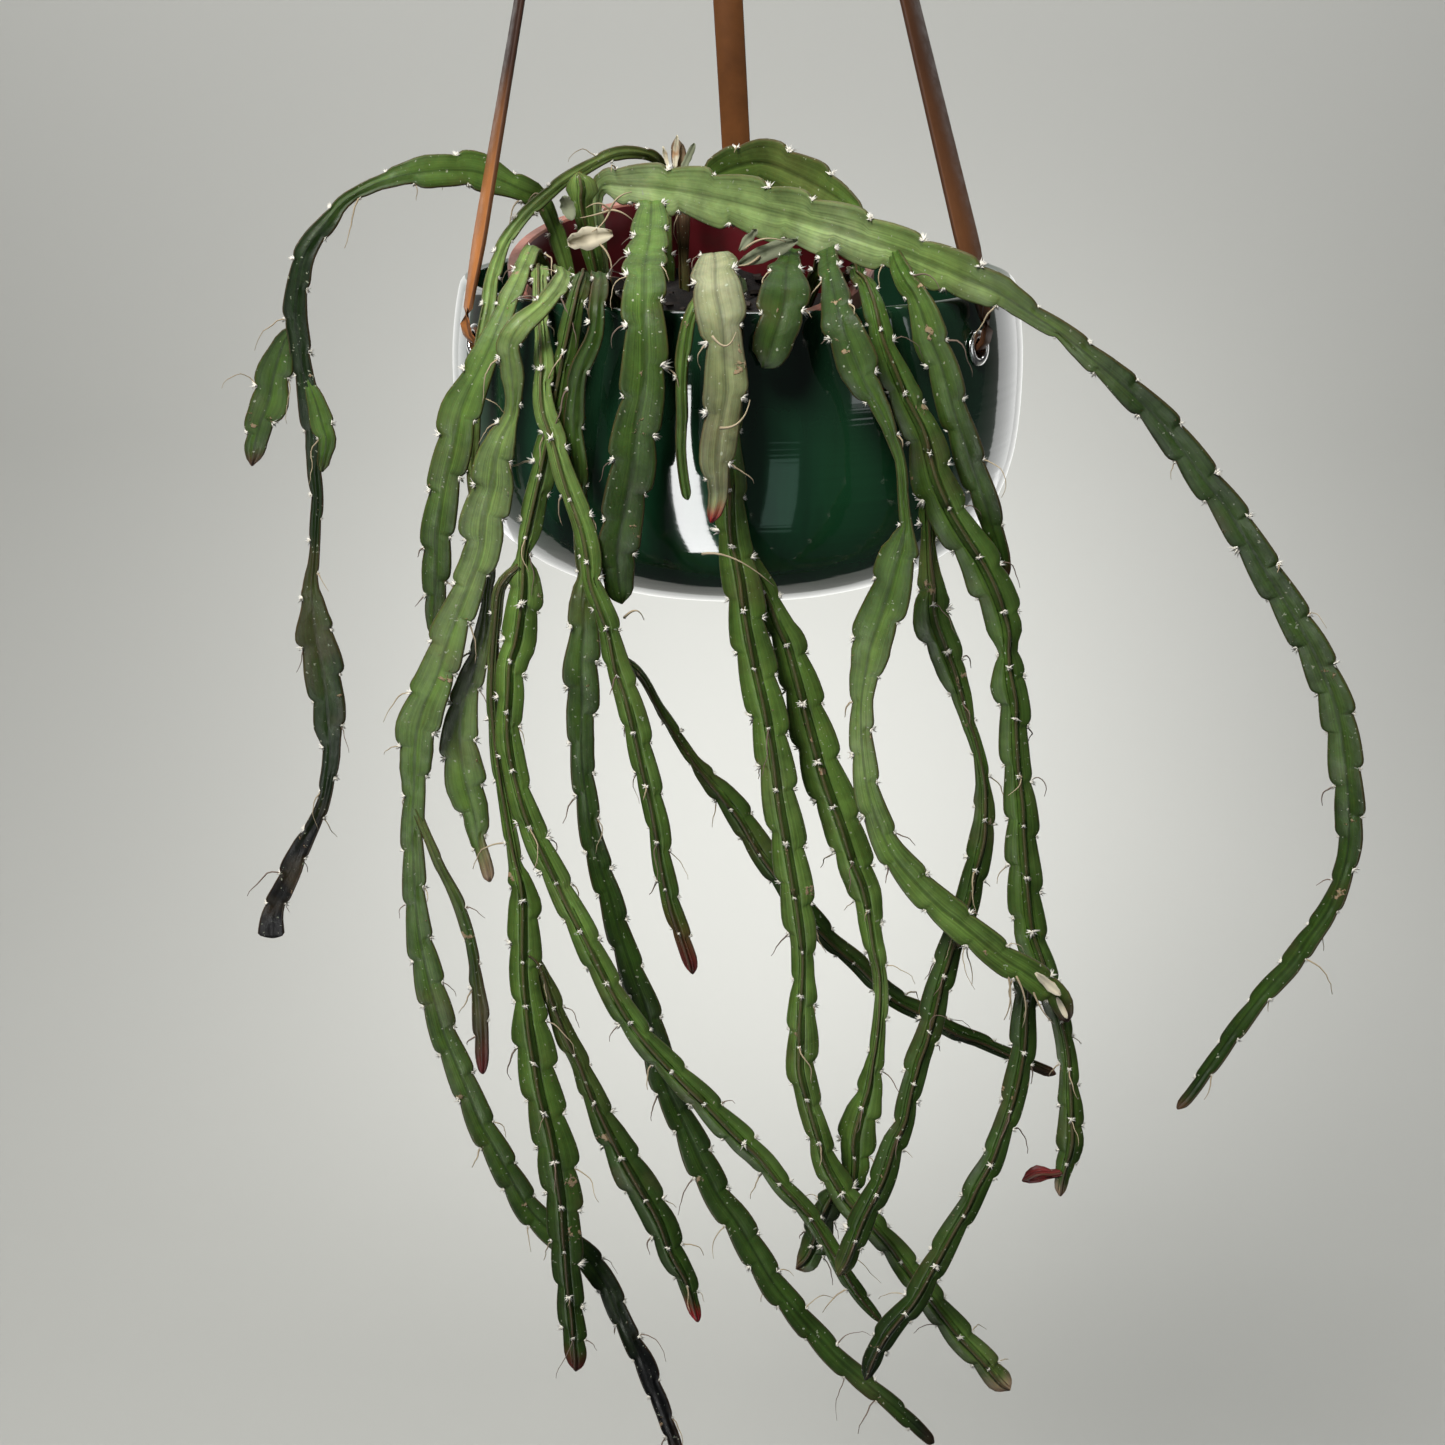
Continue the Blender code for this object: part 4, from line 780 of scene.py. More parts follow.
# Shares of the way to a wing's edge, and how bright the skin is painted there: darker at the midrib, painted
# light a little way out and painted shade towards the edge.
BANDS = ((0.0, 0.55), (0.07, 0.8), (0.2, 1.15), (0.45, 1.05), (0.75, 0.78), (0.97, 0.6), (1.0, 0.35))
BLUSH = (0.1, 0.075, 0.03)
BLOOM = (1.5, 1.3, 1.9)
RUST = (0.14, 0.085, 0.045)
FLECK = (0.4, 0.43, 0.32)
CORK = (0.34, 0.25, 0.15)
# Painted light and shade: the greens, lightest first, are the skin's green painted lighter where light falls
# and darker in shade along each stem, as well as its own colour; the last, near-black tone darkens some
# ends.
TONES = {
    "light": (0.25, 0.355, 0.125),
    "bright": (0.155, 0.24, 0.06),
    "mid_bright": (0.098, 0.175, 0.032),
    "green": (0.064, 0.122, 0.02),
    "deep": (0.029, 0.062, 0.009),
    "shade": (0.009, 0.022, 0.004),
    "olive": (0.1, 0.13, 0.034),
    "pale": (0.2, 0.23, 0.1),
    "burgundy": (0.13, 0.018, 0.016),
    "scarlet": (0.36, 0.01, 0.02),
    "russet": (0.085, 0.045, 0.024),
    "corky": (0.36, 0.26, 0.16),
    "near_black": (0.0015, 0.0015, 0.0015),
}
# Each stem's root is a place on the soil, its facing turns its wings, and each route and skin are
# one shoot. A route's knots are (across the board, down the board, forward of the bowl's middle,
# width over the wings); the board stands square to the eye's sight line. A skin is its evenly
# spaced tones from start to end, the tone of its tip, and the tip's length.
STEMS = {
    "stem_left_arch": {
        "root": (-45, 12),
        "facing": 10,
        "routes": [
            [(273, 104, 14, 7), (260, 95, 18, 10.5), (241, 87, 24, 14), (228, 85.5, 28, 13.5),
             (215, 86, 31, 12), (199, 88.5, 33.5, 7.5), (188, 92, 34.5, 5.5), (179, 96.5, 36, 5),
             (171, 102, 38, 5.2), (164, 110.5, 40, 7.2), (156, 121, 42, 8), (151, 131, 44, 8.4),
             (149, 145, 45, 8.8), (148, 160, 46, 9), (150, 172, 46, 8), (152.5, 190, 46, 8),
             (156, 206, 46, 9), (158, 222, 45, 8.3), (157.5, 234, 45, 5.8), (158.5, 250, 44, 5),
             (157, 279, 43, 4.5), (156, 291, 42.5, 6.2), (156.5, 302, 42, 10.3), (158.5, 318, 41, 15.5),
             (161.5, 333, 40, 15.7), (163.5, 348, 39.5, 14.3), (164.5, 361, 39, 13), (165.5, 373, 38.5, 8.3),
             (164.5, 387, 38, 6.7), (161.5, 402, 37, 5.8), (157.5, 412, 36, 6), (151.5, 422, 35, 8),
             (147, 433, 34, 9.6), (141, 446, 33, 9), (136.5, 457, 31.5, 10.5), (136, 469, 31, 11.5)],
            [(148, 164, 46, 4), (142.5, 171, 46, 8.5), (137.5, 187, 46, 13), (135, 200, 46, 15),
             (131, 210, 46, 12), (128, 222, 46, 9), (126, 233, 46, 3)],
            [(154, 190, 46, 4), (158, 200, 48, 7), (161.5, 212, 49, 9), (163.5, 220, 50, 8),
             (162, 229, 50, 5), (161, 236, 50, 3)],
        ],
        "skins": [(("mid_bright", "mid_bright", "green", "shade", "shade", "shade", "deep", "shade", "near_black",
                    "near_black"), "near_black", 60),
                  (("deep", "green", "deep"), "russet", 7),
                  (("green", "green", "deep"), "olive", 5)],
    },
    "stem_right_arch": {
        "root": (-34, 24),
        "facing": 20,
        "routes": [
            [(298, 96, 8, 7), (318, 92, 14, 17), (345, 95, 24, 20), (380, 103, 40, 21),
             (420, 114, 60, 20), (460, 128, 75, 17), (480, 137, 82, 16), (497, 144, 85, 13.5),
             (508, 151, 86.5, 10), (517, 157, 87.5, 8), (530, 165, 88.5, 7.5), (541, 174, 89, 8.4),
             (553, 184, 89, 9.8), (569, 198, 88.5, 11.3), (585, 215, 88, 12.2), (600, 235, 88, 12.4),
             (615, 255, 87.5, 12.3), (631, 281, 87, 12.4), (646, 305, 86.5, 12.8), (656, 322, 86, 13.5),
             (665, 342, 85, 14), (670, 358, 84, 14.3), (673, 377, 83, 13.5), (675, 398, 82, 12),
             (675.5, 414, 81, 10.6), (674, 430, 80, 8.6), (670, 443, 79, 8.8), (664, 457, 78, 9),
             (655, 469, 77, 9), (647, 481, 76.5, 9), (636, 493, 76, 8.4), (624, 507.5, 75, 7.8),
             (612, 524, 74, 7.2), (602, 538, 73.5, 6.4), (594, 549, 72.5, 5), (588.5, 554.5, 72, 3)],
            [(350, 95, 24, 5), (360, 85, 20, 14), (382, 80, 24, 18), (408, 91, 38, 17),
             (432, 107, 60, 5)],
            [(447, 125, 68, 5), (450, 134, 82, 7), (454, 141, 89, 8.2), (458, 147, 93, 9.2),
             (462.5, 157.5, 96, 11), (466, 169, 97, 12.3), (471, 181, 97, 12), (477.5, 204, 97, 11.3),
             (481, 215, 96, 11.6), (485, 227, 95, 11.6), (489, 238.5, 94, 11.3), (493, 250, 93, 10.7),
             (496.5, 261.5, 91, 8.5), (500, 273, 89, 6.5), (504, 288, 87, 3)],
        ],
        "skins": [(("light", "light", "light", "bright", "deep", "deep", "green", "deep", "deep",
                    "shade"), "russet", 7),
                  (("green", "olive", "green"), "green", 6),
                  (("green", "green", "deep", "deep"), "russet", 6)],
    },
    "stem_green_stub": {
        "root": (-34, 10),
        "facing": 180,
        "routes": [
            [(291, 104, 24, 8), (291, 95, 25, 12), (289, 86, 25, 6)],
        ],
        "skins": [(("deep", "green", "bright"), "bright", 4)],
    },
    "stem_cut_stump": {
        "root": (-4, 36),
        "facing": 120,
        "routes": [
            [(340, 92, -8, 9), (339, 80, -10, 9), (338, 69, -10, 7)],
        ],
        "skins": [(("olive", "russet", "corky"), "corky", 6)],
    },
    "stem_thin_arch": {
        "root": (-11, 47),
        "facing": 0,
        "routes": [
            [(331, 90, -19, 5), (327, 79, -12, 5), (314, 76, -4, 5), (300, 80, 4, 5), (280, 92, 16, 5),
             (262, 108, 34, 5), (252, 122, 50, 5), (246.5, 138, 63, 5.3), (244, 153, 70, 5.5),
             (241.5, 165, 73, 4.6), (239, 185, 74, 5), (236, 210, 74, 6), (236, 235, 72, 5),
             (238, 255, 70, 3)],
        ],
        "skins": [(("green", "olive", "bright", "bright", "olive"), "corky", 8)],
    },
    "stem_left_front": {
        "root": (-50, -6),
        "facing": 15,
        "routes": [
            [(268, 126, 46, 6.5), (262.5, 133, 62, 6.5), (258.5, 142, 78, 7), (253, 154, 90, 8.5),
             (245, 175, 95, 10.8), (237.5, 190, 96, 12.4), (231, 205, 96.5, 14.4), (227.5, 222, 96, 14),
             (223, 241, 94, 12.8), (219.5, 262, 90, 12.2), (218.5, 280, 86, 11.5), (218, 300, 82, 9),
             (216.5, 318, 80, 3.5)],
        ],
        "skins": [(("mid_bright", "bright", "bright", "mid_bright", "mid_bright", "green", "deep"), "green", 6)],
    },
    "stem_left_long": {
        "root": (-36, -32),
        "facing": 10,
        "routes": [
            [(281, 138, 66, 6.5), (281, 139, 86, 6.5), (277, 147, 102, 7), (268, 156, 110, 7.5),
             (260, 163, 113, 8), (255, 173, 114, 8.5), (256, 185, 113, 8.5), (257, 198, 112, 5.5),
             (256, 208, 111, 5.5), (251, 219, 110, 11), (248, 230, 109, 14), (247, 241, 108, 15.5),
             (244, 252, 106, 16.5), (242, 263, 104, 17), (241, 274, 103, 14.5), (238, 285, 102, 13),
             (232, 300, 101, 12.8), (224.5, 320, 100, 14.3), (218.5, 340, 99, 14.8), (213, 351, 98.5, 15.5),
             (209.5, 362, 98, 15.7), (208, 372, 98, 13.8), (207.5, 382, 98, 11.6), (207.5, 393, 98, 9.2),
             (206.5, 410, 98, 8.7), (207.5, 440, 98, 9), (209, 460, 98, 9.5), (212.5, 480, 98, 11.3),
             (217.5, 500, 98, 12.3), (223.5, 520, 98, 11.3), (232, 540, 98, 11.4), (240, 560, 97, 11.2),
             (251, 580, 96, 11.8), (262, 600, 94, 12), (272, 612, 93, 12), (284, 621, 92, 12),
             (296, 631, 91.5, 11.4), (304, 643, 91, 10), (313.5, 665, 89, 8.6), (322, 681, 88, 9.7),
             (328, 696, 87, 8), (333, 709, 86, 6.6), (337.5, 722, 85, 6), (341, 733, 84, 5.5),
             (344, 743, 83, 3)],
            [(241, 268, 103, 4), (245, 283, 98, 4), (243.5, 300, 95, 4.6), (241.5, 320, 92, 7.3),
             (235.5, 340, 91, 10.2), (230.5, 360, 91, 13.3), (231, 378, 91, 16), (233, 390, 91, 16.5),
             (235.5, 400, 91, 14), (238, 410, 91, 10.5), (239.5, 421, 90, 6.3), (243, 432, 89.5, 5),
             (245, 441, 89, 3.5)],
            [(206.5, 401, 98, 3), (213.5, 417.5, 100, 3.5), (221, 435, 101, 4.2), (231, 456, 101, 5.2),
             (237, 480, 101, 4.6), (238.5, 492, 101, 6), (240.5, 508, 101, 7), (241, 525, 101, 5.8),
             (241.5, 537, 101, 3)],
        ],
        "skins": [(("mid_bright", "bright", "bright", "mid_bright", "green", "green", "deep", "near_black", "near_black"),
                   "near_black", 20),
                  (("bright", "bright", "mid_bright", "mid_bright"), "corky", 18),
                  (("olive", "deep", "russet"), "burgundy", 16)],
    },
    "stem_red_tip": {
        "root": (-44, -20),
        "facing": 200,
        "routes": [
            [(271, 136, 62, 6.5), (270, 139, 78, 6.3), (270, 147, 89, 6), (270, 157, 95, 5.6),
             (271, 168, 101, 6.2), (271.5, 182, 108, 7.5), (271, 195, 112, 7.8), (272.5, 207, 114, 8),
             (277, 220, 117, 8), (281, 235, 119, 8), (286, 250, 120, 8.3), (291, 262, 122.5, 8.7),
             (294, 275, 124, 8.3), (295.5, 290, 125, 7.6), (299.5, 301, 125.5, 8), (304, 314, 124.5, 8.6),
             (308, 333, 124, 9.4), (313, 347, 124, 10.1), (317, 362, 124, 10), (323, 388, 122, 9.4),
             (328, 410, 120, 8.9), (331, 432, 119, 8.2), (335.5, 452, 118, 7.9), (340, 466, 116, 7.4),
             (344, 478, 115, 6.3), (346.5, 487, 114, 3.5)],
            [(309, 329, 124, 3), (316, 333, 119, 3), (322, 340, 112, 3.2), (327.5, 350, 106, 3.5),
             (333.5, 360, 101, 4.4), (340, 370, 98, 4.8), (346.5, 380, 96, 4.8), (353, 388, 94, 7.5),
             (361, 397, 92, 10), (370, 409, 90, 11.2), (381, 427, 88, 11.4), (395, 445, 86, 11.4),
             (405, 459, 84.5, 10.4), (417, 472, 83, 8.8), (430, 483, 82, 8.6), (445, 498, 81, 8.6),
             (460, 506, 80, 8.5), (480, 517, 79, 7.8), (490, 520.5, 78, 6.7), (502, 526, 77.5, 5.8),
             (523, 535.5, 76, 4.6), (528, 537, 76, 3)],
        ],
        "skins": [(("olive", "bright", "bright", "mid_bright", "mid_bright", "green", "green"), "burgundy", 30),
                  (("green", "green", "deep", "deep", "shade"), "russet", 12)],
    },
    "stem_front_sweep": {
        "root": (-28, -14),
        "facing": 190,
        "routes": [
            [(293, 139, 70, 7), (291, 140, 90, 6.5), (288, 150, 104, 7), (282, 178, 107, 7.5),
             (276, 210, 108, 8), (271, 235, 107, 9), (265, 262, 106, 9), (262, 277, 106, 5),
             (262, 288, 106, 11.5), (261.5, 300, 107, 13.2), (259, 320, 108, 13), (255.5, 331, 109, 11.3),
             (255, 345, 110, 10.8), (254, 360, 111, 9.8), (255, 375, 112, 10.2), (258, 390, 113, 9.2),
             (264, 410, 114, 10), (273, 430, 115, 10.2), (283, 450, 116, 10.2), (293, 470, 118, 10.2),
             (303, 490, 119, 10.1), (316, 512, 120, 10.2), (331, 530, 121, 10.5), (351, 550, 122, 11),
             (369, 568.5, 122, 11.2), (380, 579, 122, 9.4), (390, 591.5, 122, 8.2), (400, 602, 121, 7.5),
             (410, 615, 121, 7.3), (426, 642.5, 120, 6.5), (440.5, 661, 119, 3)],
            [(260, 283, 106, 4), (254, 288, 105, 4.2), (250, 294, 104, 4.3), (248.5, 303, 103, 4.4),
             (246.5, 330, 101, 4.6), (246, 350, 101, 4.6), (248.5, 380, 102, 4.8), (253, 405, 104, 5.2),
             (257.5, 430, 106, 5.5), (260.5, 442, 107, 9.5), (262, 455, 107, 12.8), (262, 480, 108, 12.8),
             (263, 498, 109, 11.8), (266, 520, 110, 15.8), (270, 545, 111, 15.8), (275, 565, 112, 16.4),
             (278, 580, 113, 17.4), (281, 600, 113, 15.2), (282.5, 620, 113, 13.3), (285, 650, 112, 11.3),
             (287.5, 675, 112, 9.8), (288, 685.5, 111, 4.5)],
            [(264, 477, 108, 3), (270, 483, 107, 3.2), (276, 500, 105, 7.5), (283.5, 520, 104, 8.6),
             (290, 532, 104, 8.2), (297, 550, 105, 10), (306.5, 570, 106, 12.4), (317, 589, 107, 14.8),
             (329, 609, 108, 13.6), (335.5, 626, 108, 11.8), (343, 640, 108, 9), (346.5, 652.5, 108, 5.8),
             (349, 661, 108, 3)],
        ],
        "skins": [(("deep", "deep", "mid_bright", "mid_bright", "mid_bright", "green", "green", "deep"), "deep", 20),
                  (("olive", "green", "mid_bright", "green", "deep", "deep"), "burgundy", 12),
                  (("olive", "deep", "deep"), "scarlet", 11)],
    },
    "stem_low_sweep": {
        "root": (-20, -34),
        "facing": 0,
        "routes": [
            [(301, 140, 76, 6), (300, 142, 96, 6), (299, 150, 108, 6), (297, 168, 112, 6.5),
             (290.5, 184, 113, 7), (287.5, 198, 112, 7), (287, 215, 111, 7), (289, 235, 110, 7),
             (290.5, 262, 106, 6), (291.5, 286, 104, 4.7), (291.5, 294, 104, 8), (291.5, 302, 103, 10.3),
             (291.5, 315, 102.5, 11.6), (290.5, 335, 102, 13.6), (291, 350, 101.5, 12.6),
             (290.5, 368, 101, 10.2), (291, 382, 101, 8.9), (295.5, 415, 99.5, 8.7), (300, 433, 99, 9.2),
             (305.5, 450, 99, 9.7), (311, 470, 98, 9.8), (318, 490, 98, 10.7), (325, 510, 97, 10.9),
             (332, 540, 97, 11.1), (341, 560, 97, 12), (350, 580, 98, 13.1), (359, 598, 98, 11.8),
             (369, 612, 99.5, 12.4), (385.5, 640, 101, 11.9), (394, 651, 102, 10.9), (408, 667.5, 103, 10.4),
             (424, 684, 104, 9.2), (449, 705, 104, 7.6), (467, 721.5, 104, 4)],
        ],
        "skins": [(("deep", "deep", "green", "deep", "deep", "deep", "deep", "deep"), "near_black", 26)],
    },
    "stem_broad_middle": {
        "root": (-14, 4),
        "facing": 0,
        "routes": [
            [(326, 104, 30, 10), (325, 119, 60, 14), (323, 132, 88, 15), (322, 139, 103, 14.5),
             (322, 149, 114, 14.5), (322, 165, 121, 15), (322, 190, 123, 15.4), (318.5, 210, 122, 15.2),
             (316.5, 230, 121, 16), (313, 252, 120, 15.2), (310, 265, 120, 15), (308.5, 279, 119, 14.8),
             (309.5, 292, 118, 10.5), (311, 302, 117, 4)],
        ],
        "skins": [(("mid_bright", "mid_bright", "mid_bright", "green", "deep", "deep"), "deep", 12)],
    },
    "stem_pale_short": {
        "root": (10, -36),
        "facing": 0,
        "routes": [
            [(357, 132, 90, 10), (358, 134, 107, 14), (358, 146, 122, 16.8), (360.5, 157, 128, 16),
             (361.5, 165, 130, 14.4), (362, 176, 132, 13.4), (362.5, 186, 133, 13.8), (363, 197, 134, 14.3),
             (361, 208, 134, 13.2), (359.3, 219, 134, 12.3), (358.5, 229, 134, 11.4), (358.5, 239, 134, 8.7),
             (359, 247, 133, 6.8), (358, 254, 133, 5.4), (355.5, 261.5, 132, 2.5)],
            [(355, 143, 118, 4), (349, 150, 120, 4.2), (345, 158, 121.5, 4.3), (343, 167, 122, 4.6),
             (341.5, 178, 122.5, 4.9), (340.5, 193, 123, 4.3), (341, 209, 123, 4), (340.5, 225, 123, 3.6),
             (342, 240, 123, 3.2), (344, 250, 123, 2.6)],
        ],
        "skins": [(("pale", "pale", "pale"), "scarlet", 8),
                  (("mid_bright", "green", "green"), "green", 5)],
    },
    "stem_middle_long": {
        "root": (16, -20),
        "facing": 190,
        "routes": [
            [(368, 141, 84, 6), (369, 143, 103, 6), (368, 152, 115, 6), (366, 180, 118, 6),
             (365, 220, 119, 8), (365.5, 245, 120, 10.5), (366.5, 270, 120, 11.8), (370, 287, 120, 14),
             (375, 320, 120, 14.5), (384, 360, 120, 14.5), (390, 400, 120, 14), (396, 435, 120, 13.6),
             (399.5, 458, 119, 13), (401.5, 476, 118, 9.6), (401.5, 488, 118, 8.8), (401, 501, 118, 10.6),
             (400.5, 520, 117, 12.3), (400.5, 535, 117, 11.6), (404, 550, 116, 10.3), (409, 567, 116, 9.6),
             (412.5, 580, 115, 11), (418, 591, 115, 12), (426, 602, 114, 12), (443, 620, 113, 10.7),
             (452, 632, 112, 11), (468, 653, 111, 11.2), (479.5, 667.5, 110, 12.3), (490, 678.5, 110, 11.6),
             (499, 689.5, 109, 10.6), (505, 695, 108, 5)],
            [(368, 268, 119, 5), (376, 284, 114, 7.5), (384, 299, 111, 8.7), (389, 312, 109, 10.4),
             (394, 323, 108, 12.6), (400, 344, 107, 14.2), (407, 370, 106, 16), (412, 388, 106, 16.7),
             (417, 402, 106, 16.6), (421, 413, 106, 15.7), (426.5, 430, 106, 14.7), (432, 444, 106, 12.8),
             (435, 459, 106, 10), (437, 473, 106, 8), (440, 488, 106, 6.2), (440, 506, 106, 6),
             (438.5, 522, 106, 6.2), (436.5, 533, 106, 8), (434.5, 545, 106, 11), (430.5, 559, 106, 15.6),
             (428, 570, 106, 17), (428, 581, 106, 13), (427.5, 590, 106, 8), (428.5, 596, 106, 4)],
            [(419, 593, 115, 4), (413, 605, 106, 11.3), (408, 620, 102, 13.6), (404, 629, 101, 10.6),
             (398, 634.5, 100, 4)],
        ],
        "skins": [(("olive", "deep", "green", "mid_bright", "mid_bright", "mid_bright", "green", "green"), "corky", 12),
                  (("mid_bright", "mid_bright", "mid_bright", "green"), "deep", 10),
                  (("deep", "deep"), "russet", 6)],
    },
    "stem_short_leaf": {
        "root": (32, -22),
        "facing": 0,
        "routes": [
            [(395, 128, 66, 7), (394, 133, 88, 9), (393, 138, 104, 12.5), (392.5, 147, 114, 16.5),
             (390.5, 158, 119, 17.6), (387, 168, 121, 14.4), (385, 176, 121.5, 12), (383.5, 181, 121.5, 8),
             (381, 184, 121.5, 3)],
        ],
        "skins": [(("deep", "deep", "deep"), "deep", 6)],
    },
    "stem_right_chain": {
        "root": (40, -18),
        "facing": 10,
        "routes": [
            [(413, 128, 64, 8), (414.5, 132.5, 86, 8), (416, 140, 102, 8.8), (419, 153, 112, 11),
             (422, 164, 117, 14), (428.5, 181, 120, 14.2), (433, 192, 121, 11),
             (439, 202, 121.5, 7.3), (445, 215, 122, 5), (450, 230, 122, 4), (452, 250, 122, 4),
             (453, 261, 121, 4.4), (452, 268, 120.5, 9), (450, 277.5, 120, 14.5), (444, 298, 119, 15.8),
             (440, 311, 119, 15.8), (435.5, 323, 118, 15), (433.5, 335, 118, 11.6), (431, 350, 118, 8.6),
             (431, 366, 118, 9.3), (432.5, 385, 118, 10), (436, 402, 118, 10.3), (443, 420, 118, 10.9),
             (449, 430.5, 118, 11.7), (460, 443, 118, 12.6), (471, 454, 117, 13.2), (481, 461.5, 117, 13.4),
             (491, 470, 116, 13), (501, 478, 115, 12.2), (511, 484.5, 114, 12.1), (521, 491.5, 113, 11.4),
             (529.5, 499, 112, 9.2), (534, 511, 111, 4)],
        ],
        "skins": [(("deep", "deep", "deep", "green", "green", "bright", "mid_bright", "mid_bright", "green"),
                   "russet", 12)],
    },
    "stem_right_long": {
        "root": (48, -1),
        "facing": 170,
        "routes": [
            [(426, 135, 60, 6), (429, 138, 72, 6), (433, 142, 88, 7), (437, 152, 100, 7.5),
             (441, 170, 105, 8.5), (449.5, 192, 106, 10.5), (455, 204, 106, 12), (460.5, 215, 105.5, 13),
             (464, 227, 105, 15), (467, 238.5, 104, 16), (471.5, 250, 103, 16.4), (477.5, 261.5, 102, 15.4),
             (484, 272, 101, 14.8), (490, 281, 100.5, 15), (495, 291, 100, 15.5), (499.5, 302, 99, 14.3),
             (503, 314, 98.5, 13.8), (503.5, 325, 98, 7.5), (504, 334, 98, 12), (505, 342, 98, 14.6),
             (507, 354, 98, 12.2), (507.5, 372, 98, 11.3), (508.5, 385, 98, 10.6), (510.5, 402, 98, 12.2),
             (511.5, 425, 98, 13), (513, 445, 98, 14), (515, 464, 98, 13.8), (520, 480, 98, 12),
             (527, 500, 97.5, 9.6), (533, 522, 97, 8), (534.5, 540, 97, 8), (535, 556, 96, 10.2),
             (535.5, 570, 96, 11.3), (533.5, 580, 95, 9.4), (531, 590, 95, 5.8), (530, 598, 94, 3.5)],
            [(465, 236, 103, 4), (464, 255, 98, 6), (464.5, 270, 97, 6), (465, 283, 96.5, 7.3),
             (466, 293, 96, 9.8), (466, 302, 96, 13.6), (467.5, 312, 95.5, 15.2), (471.5, 323, 95, 13.8),
             (476, 334, 95, 12), (479.5, 345, 95, 8.8), (484, 360, 95, 5.6), (488, 372, 95, 4.8),
             (491.5, 390, 95, 5.6), (492, 406, 95, 8.4), (491.5, 418, 95, 10), (487.5, 435, 95, 10.2),
             (484, 451, 96, 10), (477, 470, 99, 9.8), (470.5, 491, 104, 11.2), (463.5, 519, 113, 10.5),
             (459, 531, 116, 10.1), (454.5, 549, 123, 8.8), (452, 561, 126, 8.3), (447, 572, 129, 9.8),
             (442, 588, 133, 10.1), (431.5, 610, 135, 10.1), (427, 621, 136, 9.6), (423.5, 630, 136, 8.4),
             (419, 638, 136, 3.5)],
            [(518, 472, 98, 5), (516.5, 481, 96, 8), (514, 491, 95, 11), (512.5, 508, 95, 10.9),
             (511.5, 525, 96, 11), (509, 540, 99, 11), (505.5, 553, 102, 10.3), (501, 567, 107, 9.2),
             (495.5, 581, 112.5, 9.5), (489, 593, 117, 9.9), (483, 605, 121, 9.6), (475, 619, 126, 9.8),
             (467, 633, 128.5, 10.2), (457.5, 650, 130, 10.2), (444, 666, 130, 9.6), (437, 678.5, 129, 8.2),
             (432.5, 690, 128, 3.5)],
            [(531, 586, 95, 3), (526, 587, 95, 4), (519, 587, 95, 7), (511, 590.5, 94, 3)],
        ],
        "skins": [(("deep", "deep", "green", "green", "green", "green", "green", "green", "deep"),
                   "corky", 8),
                  (("green", "green", "deep", "deep", "deep"), "olive", 8),
                  (("deep", "deep", "deep", "shade"), "shade", 10),
                  (("burgundy", "burgundy"), "burgundy", 5)],
    },
}

flesh, flesh_shader = finish_of("waxy_green_skin", TONES["green"], 0.42, Specular_IOR_Level=0.14,
                                Subsurface_Weight=0.12, Subsurface_Scale=0.004)
own_tone = put(flesh, "ShaderNodeAttribute", attribute_name="tone").outputs["Color"]
to_edge = put(flesh, "ShaderNodeAttribute", attribute_name="edge").outputs["Fac"]
run = put(flesh, "ShaderNodeAttribute", attribute_name="run").outputs["Fac"]
# Painted light and shade across each wing, by the share of the way to its edge.
wing_light_ramp = put(flesh, "ShaderNodeValToRGB", {"Fac": to_edge})
bands = wing_light_ramp.color_ramp
for share, strength in BANDS[1:-1]:
    bands.elements.new(share)
for stop, (share, strength) in zip(bands.elements, BANDS):
    stop.color = (strength, strength, strength, 1.0)
green = mixed(flesh, 1.0, own_tone, wing_light_ramp.outputs["Color"], "MULTIPLY")
fibre_place = put(flesh, "ShaderNodeCombineXYZ", {"X": to_edge, "Y": run}).outputs[0]
fibre_inputs = {"Vector": fibre_place, "Scale": 9.0, "Detail": 4.0, "Roughness": 0.6}
fibres = put(flesh, "ShaderNodeTexNoise", fibre_inputs).outputs["Fac"]
mottling = {0: grain(flesh, 85, 4.0, 0.6), 1: fibres}
mottled = put(flesh, "ShaderNodeMath", mottling, operation="ADD").outputs[0]
mottled = ranged(flesh, mottled, 0.7, 1.3, 0.5, 1.42)
grey = put(flesh, "ShaderNodeCombineColor", {0: mottled, 1: mottled, 2: mottled}).outputs[0]
green = mixed(flesh, 1.0, green, grey, "MULTIPLY")
blush = ranged(flesh, grain(flesh, 38, 3.0, 0.5), 0.56, 0.72, 0.0, 0.3)
green = mixed(flesh, blush, green, BLUSH)
bloom = ranged(flesh, grain(flesh, 24, 4.0, 0.6), 0.5, 0.68, 0.0, 0.7)
green = mixed(flesh, bloom, green, BLOOM, "MULTIPLY")
rusty = ranged(flesh, to_edge, 0.92, 1.0, 0.0, 0.32)
green = mixed(flesh, rusty, green, RUST)
fleck = ranged(flesh, grain(flesh, 620, 2.0, 0.5), 0.69, 0.72, 0.0, 0.7)
green = mixed(flesh, fleck, green, FLECK)
scar = ranged(flesh, grain(flesh, 95, 5.0, 0.62), 0.67, 0.69)
green = mixed(flesh, scar, green, CORK)
wire(flesh, green, flesh_shader, "Base Color")
wire(flesh, ranged(flesh, grain(flesh, 160), 0.3, 0.7, 0.33, 0.55), flesh_shader, "Roughness")
unevenness = {0: grain(flesh, 190, 4.0, 0.6), 1: scar}
skin_height = put(flesh, "ShaderNodeMath", unevenness, operation="ADD").outputs[0]
relief(flesh, flesh_shader, skin_height, 0.35)


